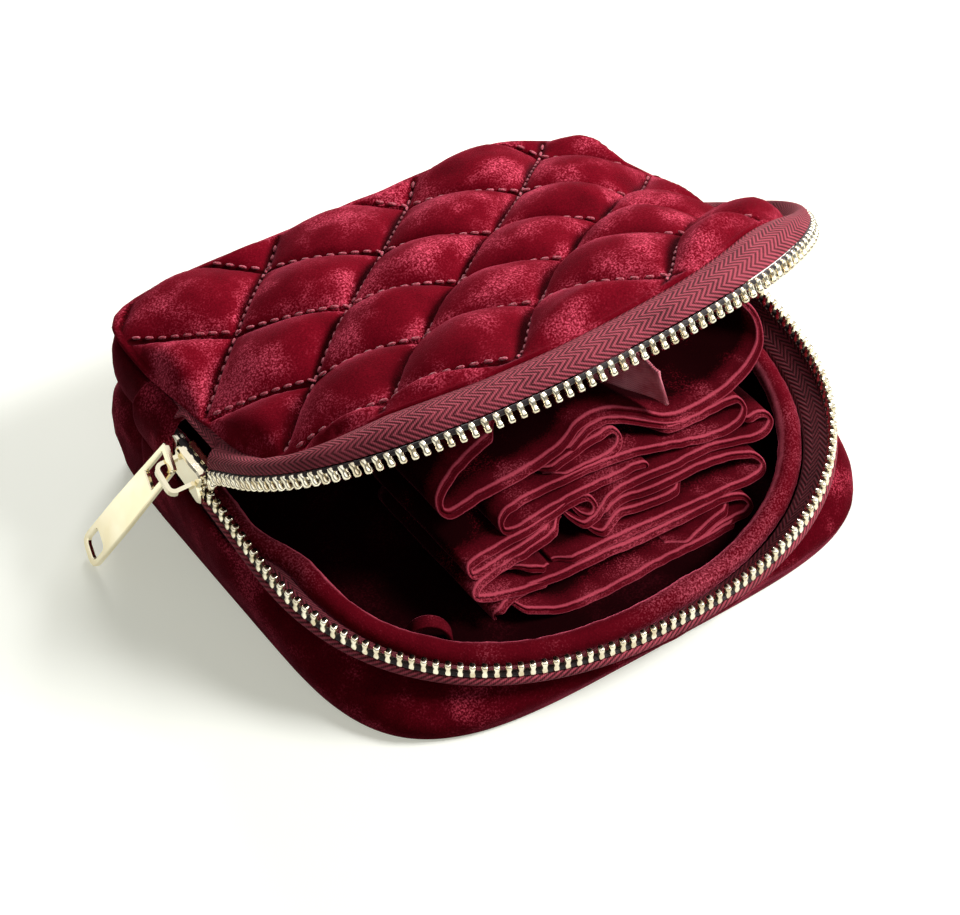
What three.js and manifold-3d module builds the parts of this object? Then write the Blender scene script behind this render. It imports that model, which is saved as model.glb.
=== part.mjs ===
import * as THREE from 'three';
import { mergeVertices } from 'three/addons/utils/BufferGeometryUtils.js';
import Module from 'manifold-3d';

// Velvet jewelry case with a quilted lid, a metal zip and a folded jewelry strip inside.
// Millimetres, +Z up, the front faces -Y. The origin is on the table, under the middle of the case.
// The lid is shown raised: it swings about a line through the two ends of the zip.

const wasm = await Module();
wasm.setup();

// Case outline
const caseWidth = 160;
const footFront = -69;
const footBack = 71.5;
const footPower = 4.3;
const backPower = 9;
const frontEdge = -75.1;
const frontShoulder = -10;
const frontPower = 2.25;

// Zip line
const zipFrontHeight = 20;
const zipRise = 0.1743;
const toothPitch = 2.85;
const toothLength = 1.5;
const toothThickness = 2;
const toothHeight = 3.6;
const rowSlit = 2.2;
const tapeThickness = 0.7;
const fitGap = 0.3;
const zipStartY = 23.3;
const zipEndY = 17;
const coveredEndY = 40.7;

// Lid hinge line and opening
const hingeLeftY = 12;
const hingeRightY = 20;
const hingeDrop = 0.7;
const openAngle = THREE.MathUtils.degToRad(44.5);
const foldBehind = 62;
const foldAhead = 111.3;
const rowFoldLeft = [1, 9];
const rowFoldRight = [-4, 2.5];

// Velvet base
const wallThickness = 2.4;
const wallEdgeThickness = 1.8;
const wallBulge = 2;
const tableGap = 0.4;
const footRound = 2.6;
const seamDrop = 9.5;
const tapeDrop = 11;
const tapeFlare = 6.5;
const rimRadius = 3.2;
const liningThickness = 1;
const bottomThickness = 2;
const boardThickness = 1.5;
const backFoldHeight = 31;
const backFoldDepth = 4;

// Quilted lid
const lidEdgeRise = 13.5;
const lidBackHeight = 47.5;
const padThickness = 2.2;
const padLoft = 4;
const edgeRoll = 2;
const domeHeight = 18;
const domeTilt = 6;
const domeFall = 21.9;
const sideInset = 4;
const frontInset = 7.5;
const lidBackPower = 9;
const backInset = 1.5;
const lidLiningThickness = 0.9;
const lidLiningGap = 0.9;
const cornerDropLeft = 1.5;
const cornerDropRight = 4.5;
const quiltOrigin = [-76, 15.9];
const quiltStepA = [23.6, -19.9];
const quiltStepB = [21.1, 21.7];
const quiltDivisions = 4;

// Slider and pull
const sliderY = 17;
const sliderLength = 12;
const sliderThickness = 5.4;
const sliderChannel = 3;
const sliderLip = 0.9;
const slotWidth = 1.4;
const bridgeReach = 6.2;
const bridgeWidth = 2;
const bridgeThickness = 1.1;
const bridgeBend = 1.6;
const tabWidth = 9.7;
const tabThickness = 1.5;
const tabLength = 44.6;
const tabHangDepth = 2.7;
const tabBar = 2;
const tabWindow = 9.5;

// Folded jewelry strip
const stripWidth = 42;
const stripThickness = 1.3;
const stripTurn = 1.7;
const stripFoot = [-48, 8];
const stripTop = [-24, 30];
const loopWidth = 11;
const loopHeight = 7;
const loopDepth = 4;
const loopThickness = 1.2;
const loopPlace = [-50, -38];
const loopTurn = -0.5;
const foldRight = [[53, 25], [58, 17.5], [50, 11], [43, 4.5]];
const foldLeft = [[-24, 21.8], [-37, 15.5], [-38, 9.5], [-35, 2.5]];

const halfWidth = caseWidth / 2;
const clamp01 = (t) => Math.min(1, Math.max(0, t));
const smooth = (t) => clamp01(t) ** 2 * (3 - 2 * clamp01(t));
const mix = (a, b, t) => a + (b - a) * t;
const vec = (x, y, z) => new THREE.Vector3(x, y, z);

// Height of the zip's centre line
const zipHeight = (y) => zipFrontHeight + zipRise * (y - frontEdge);

// Materials
const velvet = (color, roughness = 0.85) => new THREE.MeshStandardMaterial({ color, roughness, metalness: 0 });
const metal = (color, roughness) => new THREE.MeshStandardMaterial({ color, roughness, metalness: 1 });

// A solid through closed rings of points. Each cap is cut from the flat outline given for its end ring,
// or fans out from a middle point.
function loft(rings, firstOutline, lastOutline) {
  const count = rings[0].length;
  const positions = rings.flat().flatMap((p) => [p.x, p.y, p.z]);
  const index = [];
  for (let i = 0; i < rings.length - 1; i++) {
    for (let j = 0; j < count; j++) {
      const a = i * count + j;
      const b = i * count + ((j + 1) % count);
      index.push(a, b, b + count, a, b + count, a + count);
    }
  }
  const fan = (middle, start, reversed) => {
    const centre = positions.length / 3;
    positions.push(middle.x, middle.y, middle.z);
    for (let j = 0; j < count; j++) {
      const [a, b] = [start + j, start + ((j + 1) % count)];
      index.push(centre, reversed ? b : a, reversed ? a : b);
    }
  };
  const cap = (outline, start, reversed) => {
    if (outline.isVector3) {
      fan(outline, start, reversed);
      return;
    }
    const area = Math.sign(THREE.ShapeUtils.area(outline));
    for (const [a, b, c] of THREE.ShapeUtils.triangulateShape(outline, [])) {
      const turn = Math.sign(THREE.ShapeUtils.area([outline[a], outline[b], outline[c]]));
      const flip = (turn === area) === reversed;
      index.push(start + a, start + (flip ? c : b), start + (flip ? b : c));
    }
  };
  cap(firstOutline, 0, true);
  cap(lastOutline, (rings.length - 1) * count, false);
  const geometry = new THREE.BufferGeometry();
  geometry.setAttribute('position', new THREE.Float32BufferAttribute(positions, 3));
  geometry.setIndex(index);
  return faceOut(geometry);
}

// Turns every face outward when the enclosed volume comes out negative
function faceOut(geometry) {
  const at = geometry.getAttribute('position');
  const index = geometry.getIndex().array;
  const [a, b, c] = [vec(), vec(), vec()];
  let volume = 0;
  for (let i = 0; i < index.length; i += 3) {
    a.fromBufferAttribute(at, index[i]);
    b.fromBufferAttribute(at, index[i + 1]);
    c.fromBufferAttribute(at, index[i + 2]);
    volume += a.dot(b.cross(c));
  }
  if (volume < 0) {
    const turned = [];
    for (let i = 0; i < index.length; i += 3) {
      turned.push(index[i], index[i + 2], index[i + 1]);
    }
    geometry.setIndex(turned);
  }
  return geometry;
}

// Geometry to solid and back, for cuts and joins
function toSolid(source) {
  const bare = source.clone();
  bare.deleteAttribute('normal');
  bare.deleteAttribute('uv');
  const merged = mergeVertices(bare, 1e-4);
  const vertProperties = new Float32Array(merged.getAttribute('position').array);
  const triVerts = new Uint32Array(merged.getIndex().array);
  return new wasm.Manifold(new wasm.Mesh({ numProp: 3, vertProperties, triVerts }));
}

function fromSolid(solid) {
  const { vertProperties, triVerts } = solid.getMesh();
  const geometry = new THREE.BufferGeometry();
  geometry.setAttribute('position', new THREE.Float32BufferAttribute(Array.from(vertProperties), 3));
  geometry.setIndex(Array.from(triVerts));
  return geometry;
}

// Outward direction of the zip line in plan
function zipNormal(x, y) {
  if (y >= frontShoulder) return new THREE.Vector2(Math.sign(x), 0);
  const depth = frontShoulder - frontEdge;
  const u = Math.abs(x / halfWidth) ** (frontPower - 1) / halfWidth;
  const v = ((frontShoulder - y) / depth) ** (frontPower - 1) / depth;
  return new THREE.Vector2(Math.sign(x) * u, -v).normalize();
}

// The zip line from its covered left end, round the front, to its covered right end, with the length run so far
function traceZip(endY) {
  const plan = [];
  const straightSteps = 24;
  const curveSteps = 600;
  for (let i = 0; i < straightSteps; i++) {
    plan.push([-halfWidth, mix(endY, frontShoulder, i / straightSteps)]);
  }
  for (let i = 0; i <= curveSteps; i++) {
    const angle = Math.PI * (1 - i / curveSteps);
    const c = Math.cos(angle);
    const s = Math.sin(angle);
    const x = halfWidth * Math.sign(c) * Math.abs(c) ** (2 / frontPower);
    plan.push([x, frontShoulder - (frontShoulder - frontEdge) * Math.abs(s) ** (2 / frontPower)]);
  }
  for (let i = 1; i <= straightSteps; i++) {
    plan.push([halfWidth, mix(frontShoulder, endY, i / straightSteps)]);
  }
  let run = 0;
  return plan.map(([x, y], i) => {
    if (i > 0) {
      const [px, py] = plan[i - 1];
      run += Math.hypot(x - px, y - py, zipRise * (y - py));
    }
    return { x, y, run };
  });
}

const zipTrace = traceZip(coveredEndY);
const zipLength = zipTrace[zipTrace.length - 1].run;

// Point, outward direction and height of the zip line at a length along it
function zipAt(run) {
  let i = 1;
  while (i < zipTrace.length - 1 && zipTrace[i].run < run) i++;
  const [a, b] = [zipTrace[i - 1], zipTrace[i]];
  const t = clamp01((run - a.run) / (b.run - a.run));
  const x = mix(a.x, b.x, t);
  const y = mix(a.y, b.y, t);
  const n = zipNormal(x, y);
  return { x, y, z: zipHeight(y), nx: n.x, ny: n.y };
}

// Point beside the zip line: outward offset and height above the centre line
const beside = (p, offset, height) => vec(p.x + p.nx * offset, p.y + p.ny * offset, p.z + height);

// Footprint: a rounded rectangle
const footMiddle = (footFront + footBack) / 2;
const footDepth = (footBack - footFront) / 2;
const cornerPower = (y) => (y > footMiddle ? backPower : footPower);
const footLevel = (x, y) => (
  Math.abs(x / halfWidth) ** cornerPower(y) + Math.abs((y - footMiddle) / footDepth) ** cornerPower(y)
);

// Outward distance from the zip line to the footprint's edge
function footOffset(p) {
  let [low, high] = [-30, 30];
  for (let i = 0; i < 40; i++) {
    const middle = (low + high) / 2;
    if (footLevel(p.x + p.nx * middle, p.y + p.ny * middle) > 1) high = middle;
    else low = middle;
  }
  return low;
}

// The zip tape flares outward over the front of the base and stands upright near the slider
const flareEnd = 5;
const flareRun = 20;
const lean = (y) => smooth((flareEnd - y) / flareRun);
const seamOffset = (y) => -tapeFlare * lean(y);

// Base wall profile at one station: distance out from the zip line at a share of the height
function wallFace(p) {
  const foot = footOffset(p);
  const low = footRound;
  const high = p.z - seamDrop;
  const top = seamOffset(p.y) + tapeThickness / 2 + fitGap + wallEdgeThickness;
  const outAt = (t) => mix(foot, top, t ** 1.4) + wallBulge * Math.sin(Math.PI * t);
  return { foot, low, high, top, outAt };
}

const wallLevels = [0.25, 0.5, 0.75];

function wallOutline(p) {
  const face = wallFace(p);
  const inner = face.top - wallEdgeThickness;
  const hem = 0.6;
  const outer = wallLevels.map((t) => [face.outAt(t), mix(face.low, face.high, t)]);
  const lining = wallLevels.map((t) => [face.outAt(t) - wallThickness, mix(face.low, face.high, t)]).reverse();
  return [
    [face.foot - wallThickness, tableGap],
    [face.foot - footRound / 3, tableGap + hem / 2],
    [face.foot, face.low],
    ...outer,
    [face.top, face.high - hem],
    [face.top - hem, face.high],
    [inner, face.high],
    ...lining,
    [face.foot - wallThickness, face.low],
  ];
}

// A solid along the zip line from a section given as offsets and heights
function alongZip(start, end, steps, section, pose = (q) => q) {
  const rings = [];
  const outlines = [];
  for (let i = 0; i <= steps; i++) {
    const p = zipAt(mix(start, end, i / steps));
    const outline = section(p);
    rings.push(outline.map(([o, z]) => pose(vec(p.x + p.nx * o, p.y + p.ny * o, z))));
    outlines.push(outline.map(([o, z]) => new THREE.Vector2(o, z)));
  }
  return loft(rings, outlines[0], outlines[steps]);
}

const wallSteps = 44;

// Round roll of velvet along the inside of the opening
function rimOutline(p) {
  const sides = 8;
  const middle = seamOffset(p.y) - tapeThickness / 2 - fitGap - rimRadius;
  return Array.from({ length: sides }, (_, k) => {
    const angle = (2 * Math.PI * k) / sides;
    return [middle + rimRadius * Math.cos(angle), p.z - seamDrop + rimRadius * Math.sin(angle)];
  });
}

// Woven tape under the base teeth
const toothTop = rowSlit / 2;
const toothFoot = toothTop + toothHeight;
const tapeEdge = toothFoot + fitGap;

function baseTapeOutline(p) {
  const half = tapeThickness / 2;
  const low = seamOffset(p.y);
  const fall = [[0, tapeEdge], [low * 0.45, mix(tapeEdge, seamDrop, 0.5)], [low, seamDrop - fitGap], [low, tapeDrop]];
  const outer = fall.map(([o, drop]) => [o + half, p.z - drop]);
  const inner = fall.map(([o, drop]) => [o - half, p.z - drop]).reverse();
  return [...outer, ...inner];
}

// Hinge line and the raised pose of the lid
const hingeLeft = vec(-halfWidth, hingeLeftY, zipHeight(hingeLeftY) - hingeDrop);
const hingeRight = vec(halfWidth, hingeRightY, zipHeight(hingeLeftY) - hingeDrop);
const hingeAxis = hingeRight.clone().sub(hingeLeft).normalize();
const forward = vec(hingeAxis.y, -hingeAxis.x, 0);
const ahead = (p) => p.clone().sub(hingeLeft).dot(forward);

function raised(p, share) {
  const turned = p.clone().sub(hingeLeft).applyAxisAngle(hingeAxis, -openAngle).add(hingeLeft);
  return p.clone().lerp(turned, share);
}

const panelShare = (p) => smooth((ahead(p) + foldBehind) / (foldAhead + foldBehind));

// The row bends up beside the slider on the left, and at its open end on the right
const rowShare = (p) => {
  const [start, end] = p.x > 0 ? rowFoldRight : rowFoldLeft;
  return smooth((ahead(p) - start) / (end - start));
};

// Closed lid surface, level with the stitched channels
const lidEdgeHeight = (y) => {
  const front = zipHeight(Math.min(y, hingeLeftY)) + lidEdgeRise;
  return mix(front, lidBackHeight, clamp01((y - hingeLeftY) / (footBack - hingeLeftY)));
};

function lidSurface(x, y) {
  const depth = y / footDepth;
  const dome = domeHeight + domeTilt * depth - domeFall * depth ** 2;
  const across = clamp01(1 - Math.abs(x / (halfWidth - sideInset)) ** 2.5);
  const frontRamp = clamp01((y - frontEdge - 5) / 18) ** 0.5;
  const backRamp = clamp01((footBack - y) / 14) ** 0.5;
  const drop = x > 0 ? cornerDropRight : cornerDropLeft;
  const corner = drop * smooth((Math.abs(x) - halfWidth / 2) / (halfWidth / 2)) * smooth((y - 25) / 45);
  return lidEdgeHeight(y) + edgeRoll + dome * across * frontRamp * backRamp - corner;
}

// Outline of the lid in plan, drawn in from the zip line at the front and from the footprint at the back.
// On the right the pad reaches closer to the zip.
const rightEase = 28;
const rightBend = -40;
const panelInset = ({ x, y }) => {
  const share = x > 0 ? smooth((rightBend - y) / rightEase) : lean(y);
  return mix(sideInset, frontInset, share);
};
const lidCornerY = 30;

function lidOutline(extraInset, frontCount, backCount) {
  const points = [];
  const left = zipTrace.find((p) => p.y <= lidCornerY).run;
  for (let i = 0; i <= frontCount; i++) {
    const p = zipAt(mix(left, zipLength - left, i / frontCount));
    const inset = panelInset(p) + extraInset;
    points.push(new THREE.Vector2(p.x - p.nx * inset, p.y - p.ny * inset));
  }
  const wide = halfWidth - sideInset - extraInset;
  const deep = footBack - backInset - extraInset - lidCornerY;
  for (let i = 1; i < backCount; i++) {
    const angle = (Math.PI * i) / backCount;
    const c = Math.cos(angle);
    const s = Math.sin(angle);
    const x = wide * Math.sign(c) * Math.abs(c) ** (2 / lidBackPower);
    points.push(new THREE.Vector2(x, lidCornerY + deep * s ** (2 / lidBackPower)));
  }
  return points;
}

// Quilted pad: a slab on the diamond grid, cut to the outline, then laid over the lid's surface
function quiltedPanel() {
  const outline = new THREE.Shape(lidOutline(0, 56, 22));
  const outlinePoints = outline.getPoints();
  const edgeDistance = (x, y) => {
    let best = Infinity;
    for (const q of outlinePoints) best = Math.min(best, Math.hypot(q.x - x, q.y - y));
    return best;
  };
  const inside = (x, y) => {
    let within = false;
    for (let i = 0, j = outlinePoints.length - 1; i < outlinePoints.length; j = i++) {
      const [a, b] = [outlinePoints[i], outlinePoints[j]];
      const crosses = a.y > y !== b.y > y;
      if (crosses && x < ((b.x - a.x) * (y - a.y)) / (b.y - a.y) + a.x) within = !within;
    }
    return within;
  };
  const [[ax, ay], [bx, by]] = [quiltStepA, quiltStepB];
  const det = ax * by - ay * bx;
  const gridOf = (x, y) => {
    const [dx, dy] = [x - quiltOrigin[0], y - quiltOrigin[1]];
    return [(dx * by - dy * bx) / det, (ax * dy - ay * dx) / det];
  };
  const reach = outlinePoints.map((q) => gridOf(q.x, q.y));
  const range = [0, 1].map((k) => [
    Math.floor(Math.min(...reach.map((r) => r[k]))),
    Math.ceil(Math.max(...reach.map((r) => r[k]))),
  ]);
  const steps = range.map(([low, high]) => (high - low) * quiltDivisions);
  const pillow = (t) => Math.abs(Math.sin(Math.PI * t)) ** 0.55;
  const positions = [];
  const index = [];
  const columns = steps[1] + 1;
  for (const side of [0, 1]) {
    for (let i = 0; i <= steps[0]; i++) {
      for (let j = 0; j <= steps[1]; j++) {
        const a = range[0][0] + i / quiltDivisions;
        const b = range[1][0] + j / quiltDivisions;
        const x = quiltOrigin[0] + ax * a + bx * b;
        const y = quiltOrigin[1] + ay * a + by * b;
        const fade = inside(x, y) ? smooth(edgeDistance(x, y) / 9) : 0;
        const rise = i % quiltDivisions && j % quiltDivisions ? pillow(a) * pillow(b) * fade : 0;
        positions.push(x, y, side ? -padThickness : padLoft * rise);
      }
    }
  }
  const layer = (steps[0] + 1) * columns;
  for (let i = 0; i < steps[0]; i++) {
    for (let j = 0; j < steps[1]; j++) {
      const a = i * columns + j;
      const b = a + columns;
      index.push(a, b, b + 1, a, b + 1, a + 1);
      index.push(a + layer, b + layer + 1, b + layer, a + layer, a + layer + 1, b + layer + 1);
    }
  }
  const side = (a, b) => index.push(a, b, b + layer, a, b + layer, a + layer);
  for (let j = 0; j < steps[1]; j++) {
    side(j, j + 1);
    side(steps[0] * columns + j + 1, steps[0] * columns + j);
  }
  for (let i = 0; i < steps[0]; i++) {
    side((i + 1) * columns, i * columns);
    side(i * columns + steps[1], (i + 1) * columns + steps[1]);
  }
  const slab = new THREE.BufferGeometry();
  slab.setAttribute('position', new THREE.Float32BufferAttribute(positions, 3));
  slab.setIndex(index);
  const tall = 4 * (padLoft + padThickness);
  const prism = new THREE.ExtrudeGeometry(outline, { depth: tall, bevelEnabled: false });
  prism.translate(0, 0, -tall / 2);
  const pad = fromSolid(toSolid(faceOut(slab)).intersect(toSolid(prism)));
  const at = pad.getAttribute('position');
  for (let i = 0; i < at.count; i++) {
    const [x, y, h] = [at.getX(i), at.getY(i), at.getZ(i)];
    const p = vec(x, y, lidSurface(x, y) + h);
    const q = raised(p, panelShare(p));
    at.setXYZ(i, q.x, q.y, q.z);
  }
  return pad;
}

// Lining under the pad, as rings drawn in towards the middle
function lidLining() {
  const edge = lidOutline(3, 30, 14);
  const draws = [0.14, 0.34, 0.54, 0.72, 0.87, 1];
  const middle = new THREE.Vector2(0, -2);
  const ring = (draw, under) => edge.map((q) => {
    const x = mix(middle.x, q.x, draw);
    const y = mix(middle.y, q.y, draw);
    const p = vec(x, y, lidSurface(x, y) - padThickness - lidLiningGap - (under ? lidLiningThickness : 0));
    return raised(p, panelShare(p));
  });
  const rings = [...draws.map((d) => ring(d, false)), ...draws.reverse().map((d) => ring(d, true))];
  return loft(rings, edge, edge);
}

// Woven tape above the lid teeth: its foot stands with the row, then it turns over and meets the pad's side
function lidTape() {
  const levels = [0, 0.12, 0.4, 0.7, 1];
  const half = tapeThickness / 2;
  const foot = tapeEdge + half;
  const edgeGap = 0.15;
  const seamShare = 0.6;
  const stations = [];
  for (let i = 0; i <= wallSteps; i++) {
    const p = zipAt(zipLength * (i / wallSteps));
    const inset = panelInset(p) - half - edgeGap;
    const edge = beside(p, -inset, 0);
    const high = lidSurface(edge.x, edge.y) - seamShare * padThickness - p.z;
    stations.push(levels.map((t) => {
      const q = beside(p, -inset * t ** 1.5, mix(foot, high, t));
      const turn = clamp01((t - levels[1]) / (1 - levels[1])) ** 1.5;
      return raised(q, mix(rowShare(q), panelShare(q), turn));
    }));
  }
  const near = (list, i) => [list[Math.max(0, i - 1)], list[Math.min(list.length - 1, i + 1)]];
  const rings = stations.map((middle, i) => {
    const [before, after] = near(stations, i);
    const outward = middle.map((m, k) => {
      const [low, high] = near(middle, k);
      return after[k].clone().sub(before[k]).cross(high.clone().sub(low)).normalize();
    });
    const face = (k, side) => middle[k].clone().addScaledVector(outward[k], side * half);
    return [...levels.map((_, k) => face(k, 1)), ...levels.map((_, k) => face(levels.length - 1 - k, -1))];
  });
  const flat = [...levels.map((t) => [half, t]), ...levels.slice().reverse().map((t) => [-half, t])];
  const outline = flat.map(([o, t]) => new THREE.Vector2(o, t));
  return loft(rings, outline, outline);
}

// A solid from four-cornered faces that share their corners
function fromFaces(faces) {
  const positions = faces.flatMap(([a, b, c, d]) => [a, b, c, a, c, d]).flatMap((p) => [p.x, p.y, p.z]);
  const geometry = new THREE.BufferGeometry();
  geometry.setAttribute('position', new THREE.Float32BufferAttribute(positions, 3));
  return faceOut(mergeVertices(geometry, 1e-4));
}

// A row of metal teeth clamped on its bead: side is -1 for the base row and +1 for the lid row
const beadTop = toothFoot - 1.3;

function toothRow(start, end, side, pose = (q) => q) {
  const count = Math.floor((end - start) / toothPitch);
  const half = toothThickness / 2;
  const margin = (toothPitch - toothLength) / 2;
  const faces = [];
  const column = (run) => {
    const p = zipAt(run);
    const at = (o, h) => pose(beside(p, o, side * h));
    return {
      bead: [at(half, beadTop), at(half, toothFoot), at(-half, toothFoot), at(-half, beadTop)],
      tip: [at(half, toothTop), at(-half, toothTop)],
    };
  };
  const band = (from, to) => from.forEach((p, k) => {
    const next = (k + 1) % from.length;
    faces.push([p, from[next], to[next], to[k]]);
  });
  const withTip = ({ bead, tip }) => [tip[0], ...bead, tip[1]];
  let previous = column(start);
  faces.push([...previous.bead].reverse());
  for (let i = 0; i < count; i++) {
    const front = column(start + i * toothPitch + margin);
    const rear = column(start + i * toothPitch + margin + toothLength);
    band(previous.bead, front.bead);
    faces.push([front.tip[1], front.bead[3], front.bead[0], front.tip[0]]);
    band(withTip(front), withTip(rear));
    faces.push([rear.tip[0], rear.bead[0], rear.bead[3], rear.tip[1]]);
    previous = rear;
  }
  const last = column(start + count * toothPitch);
  band(previous.bead, last.bead);
  faces.push(last.bead);
  return fromFaces(faces);
}

// Length along the zip line at a place on its straight left or right side
const leftRun = (y) => (coveredEndY - y) * Math.hypot(1, zipRise);
const rightRun = (y) => zipLength - leftRun(y);

// A flat plate from an outline with softly rounded edges, its middle plane at zero
function plate(shape, thickness, round, curveSegments = 10) {
  const geometry = new THREE.ExtrudeGeometry(shape, {
    depth: thickness - 2 * round,
    bevelEnabled: round > 0,
    bevelThickness: round,
    bevelSize: round,
    bevelOffset: -round,
    bevelSegments: 1,
    curveSegments,
  });
  geometry.translate(0, 0, round - thickness / 2);
  return geometry;
}

function roundedBox(x, y, z, round) {
  const shape = new THREE.Shape();
  shape.moveTo(-x / 2, -y / 2);
  shape.lineTo(x / 2, -y / 2);
  shape.lineTo(x / 2, y / 2);
  shape.lineTo(-x / 2, y / 2);
  shape.closePath();
  return plate(shape, z, round);
}

const box = (x, y, z) => new THREE.BoxGeometry(x, y, z);

// Slider: a rounded block with a channel for both rows, slots for both tapes and a post between the rows.
// Its own axes: x outward to the right of the case, y back along the zip, z up across the zip.
const channelHalf = toothFoot + 0.2;
const lipHalf = channelHalf + sliderLip;

function sliderBody() {
  const long = sliderLength / 2;
  const waist = lipHalf - 0.9;
  const shape = new THREE.Shape();
  shape.moveTo(long, -waist + 1);
  shape.lineTo(long, waist - 1);
  shape.quadraticCurveTo(long, waist, long - 1, waist);
  shape.quadraticCurveTo(0, waist, -long + 2.2, lipHalf);
  shape.quadraticCurveTo(-long, lipHalf, -long, lipHalf - 1.6);
  shape.quadraticCurveTo(-long, 1.8, -long + 1.3, 0);
  shape.quadraticCurveTo(-long, -1.8, -long, -lipHalf + 1.6);
  shape.quadraticCurveTo(-long, -lipHalf, -long + 2.2, -lipHalf);
  shape.quadraticCurveTo(0, -waist, long - 1, -waist);
  shape.quadraticCurveTo(long, -waist, long, -waist + 1);
  const turn = new THREE.Matrix4().makeBasis(vec(0, 1, 0), vec(0, 0, 1), vec(1, 0, 0));
  const block = toSolid(plate(shape, sliderThickness, 0.45, 6).applyMatrix4(turn));
  const channel = toSolid(box(sliderChannel, sliderLength * 2, 2 * channelHalf));
  const slots = toSolid(box(slotWidth, sliderLength * 2, 4 * lipHalf));
  const postLength = 3.4;
  const post = new THREE.Shape();
  const nose = -long + 1.5;
  post.moveTo(nose, 0);
  post.lineTo(nose + 1, -toothTop + 0.15);
  post.lineTo(nose + postLength - 1, -toothTop + 0.15);
  post.lineTo(nose + postLength, 0);
  post.lineTo(nose + postLength - 1, toothTop - 0.15);
  post.lineTo(nose + 1, toothTop - 0.15);
  post.closePath();
  const wedge = toSolid(plate(post, sliderChannel + 0.8, 0).applyMatrix4(turn));
  return fromSolid(block.subtract(channel).subtract(slots).add(wedge));
}

// Bridge over the slider's outer face: a flat strip bent like a staple, standing across the zip line's slope
const bridgeFrontFoot = [-3.62, 0.8];
const bridgeRearFoot = [4.2, 2.6];
const outerFace = -sliderThickness / 2;

function sliderBridge() {
  const [fy, fz] = bridgeFrontFoot;
  const [ry, rz] = bridgeRearFoot;
  const along = vec(0, ry - fy, rz - fz);
  const span = along.length();
  along.normalize();
  const wide = vec(-1, 0, 0).cross(along).normalize();
  const base = outerFace - fitGap;
  const top = base - bridgeReach;
  const path = [[base, 0]];
  const bendSteps = 4;
  for (const [from, centre] of [[0, bridgeBend], [Math.PI / 2, span - bridgeBend]]) {
    for (let i = 0; i <= bendSteps; i++) {
      const angle = from + (Math.PI / 2) * (i / bendSteps);
      path.push([top + bridgeBend - bridgeBend * Math.sin(angle), centre - bridgeBend * Math.cos(angle)]);
    }
  }
  path.push([base, span]);
  const origin = vec(0, fy, fz);
  const halfW = bridgeWidth / 2;
  const halfT = bridgeThickness / 2;
  const rings = path.map(([x, s], i) => {
    const [a, b] = [path[Math.max(0, i - 1)], path[Math.min(path.length - 1, i + 1)]];
    const t = new THREE.Vector2(b[0] - a[0], b[1] - a[1]).normalize();
    return [[halfT, halfW], [halfT, -halfW], [-halfT, -halfW], [-halfT, halfW]].map(([m, w]) => (
      origin.clone().addScaledVector(along, s + m * t.x).addScaledVector(wide, w).add(vec(x - m * t.y, 0, 0))
    ));
  });
  const flat = [[halfT, halfW], [halfT, -halfW], [-halfT, -halfW], [-halfT, halfW]];
  const outline = flat.map(([x, y]) => new THREE.Vector2(x, y));
  return loft(rings, outline, outline);
}

// Pull tab: a long plate with a round tip, an upper window for the bridge and a lower window near the tip
function pullTab() {
  const half = tabWidth / 2;
  const shoulder = half - 0.8;
  const top = -1.5 - tabBar;
  const tip = tabLength;
  const shape = new THREE.Shape();
  shape.moveTo(-shoulder + 1, top);
  shape.lineTo(shoulder - 1, top);
  shape.quadraticCurveTo(shoulder, top, shoulder, top + 1);
  shape.lineTo(half, tip * 0.55);
  shape.lineTo(half, tip - 3.5);
  shape.quadraticCurveTo(half, tip, half - 3.5, tip);
  shape.lineTo(-half + 3.5, tip);
  shape.quadraticCurveTo(-half, tip, -half, tip - 3.5);
  shape.lineTo(-half, tip * 0.55);
  shape.lineTo(-shoulder, top + 1);
  shape.quadraticCurveTo(-shoulder, top, -shoulder + 1, top);
  const rail = 1.4;
  const windowAt = (low, high, wide, round) => {
    const hole = new THREE.Path();
    hole.moveTo(-wide + round, low);
    hole.lineTo(wide - round, low);
    hole.quadraticCurveTo(wide, low, wide, low + round);
    hole.lineTo(wide, high - round);
    hole.quadraticCurveTo(wide, high, wide - round, high);
    hole.lineTo(-wide + round, high);
    hole.quadraticCurveTo(-wide, high, -wide, high - round);
    hole.lineTo(-wide, low + round);
    hole.quadraticCurveTo(-wide, low, -wide + round, low);
    return hole;
  };
  shape.holes.push(windowAt(top + tabBar, top + tabBar + tabWindow, shoulder - rail, 0.6));
  shape.holes.push(windowAt(tip - 2 - 6.5, tip - 2, half - rail - 0.4, 1.6));
  return plate(shape, tabThickness, 0.3, 4);
}

// Bottom panel and stiffening board, drawn in from the footprint
function floorPlate(inset, low, thickness) {
  const sides = 56;
  const points = Array.from({ length: sides }, (_, i) => {
    const angle = (2 * Math.PI * i) / sides;
    const c = Math.cos(angle);
    const s = Math.sin(angle);
    const power = s > 0 ? backPower : footPower;
    return new THREE.Vector2(
      (halfWidth - inset) * Math.sign(c) * Math.abs(c) ** (2 / power),
      footMiddle + (footDepth - inset) * Math.sign(s) * Math.abs(s) ** (2 / power),
    );
  });
  const geometry = new THREE.ExtrudeGeometry(new THREE.Shape(points), { depth: thickness, bevelEnabled: false });
  geometry.translate(0, 0, low);
  return geometry;
}

// Back of the case: from the covered end of the zip on the right, round the back, to the left
const backSteps = 34;
const backStartY = coveredEndY + 0.7;

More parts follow.
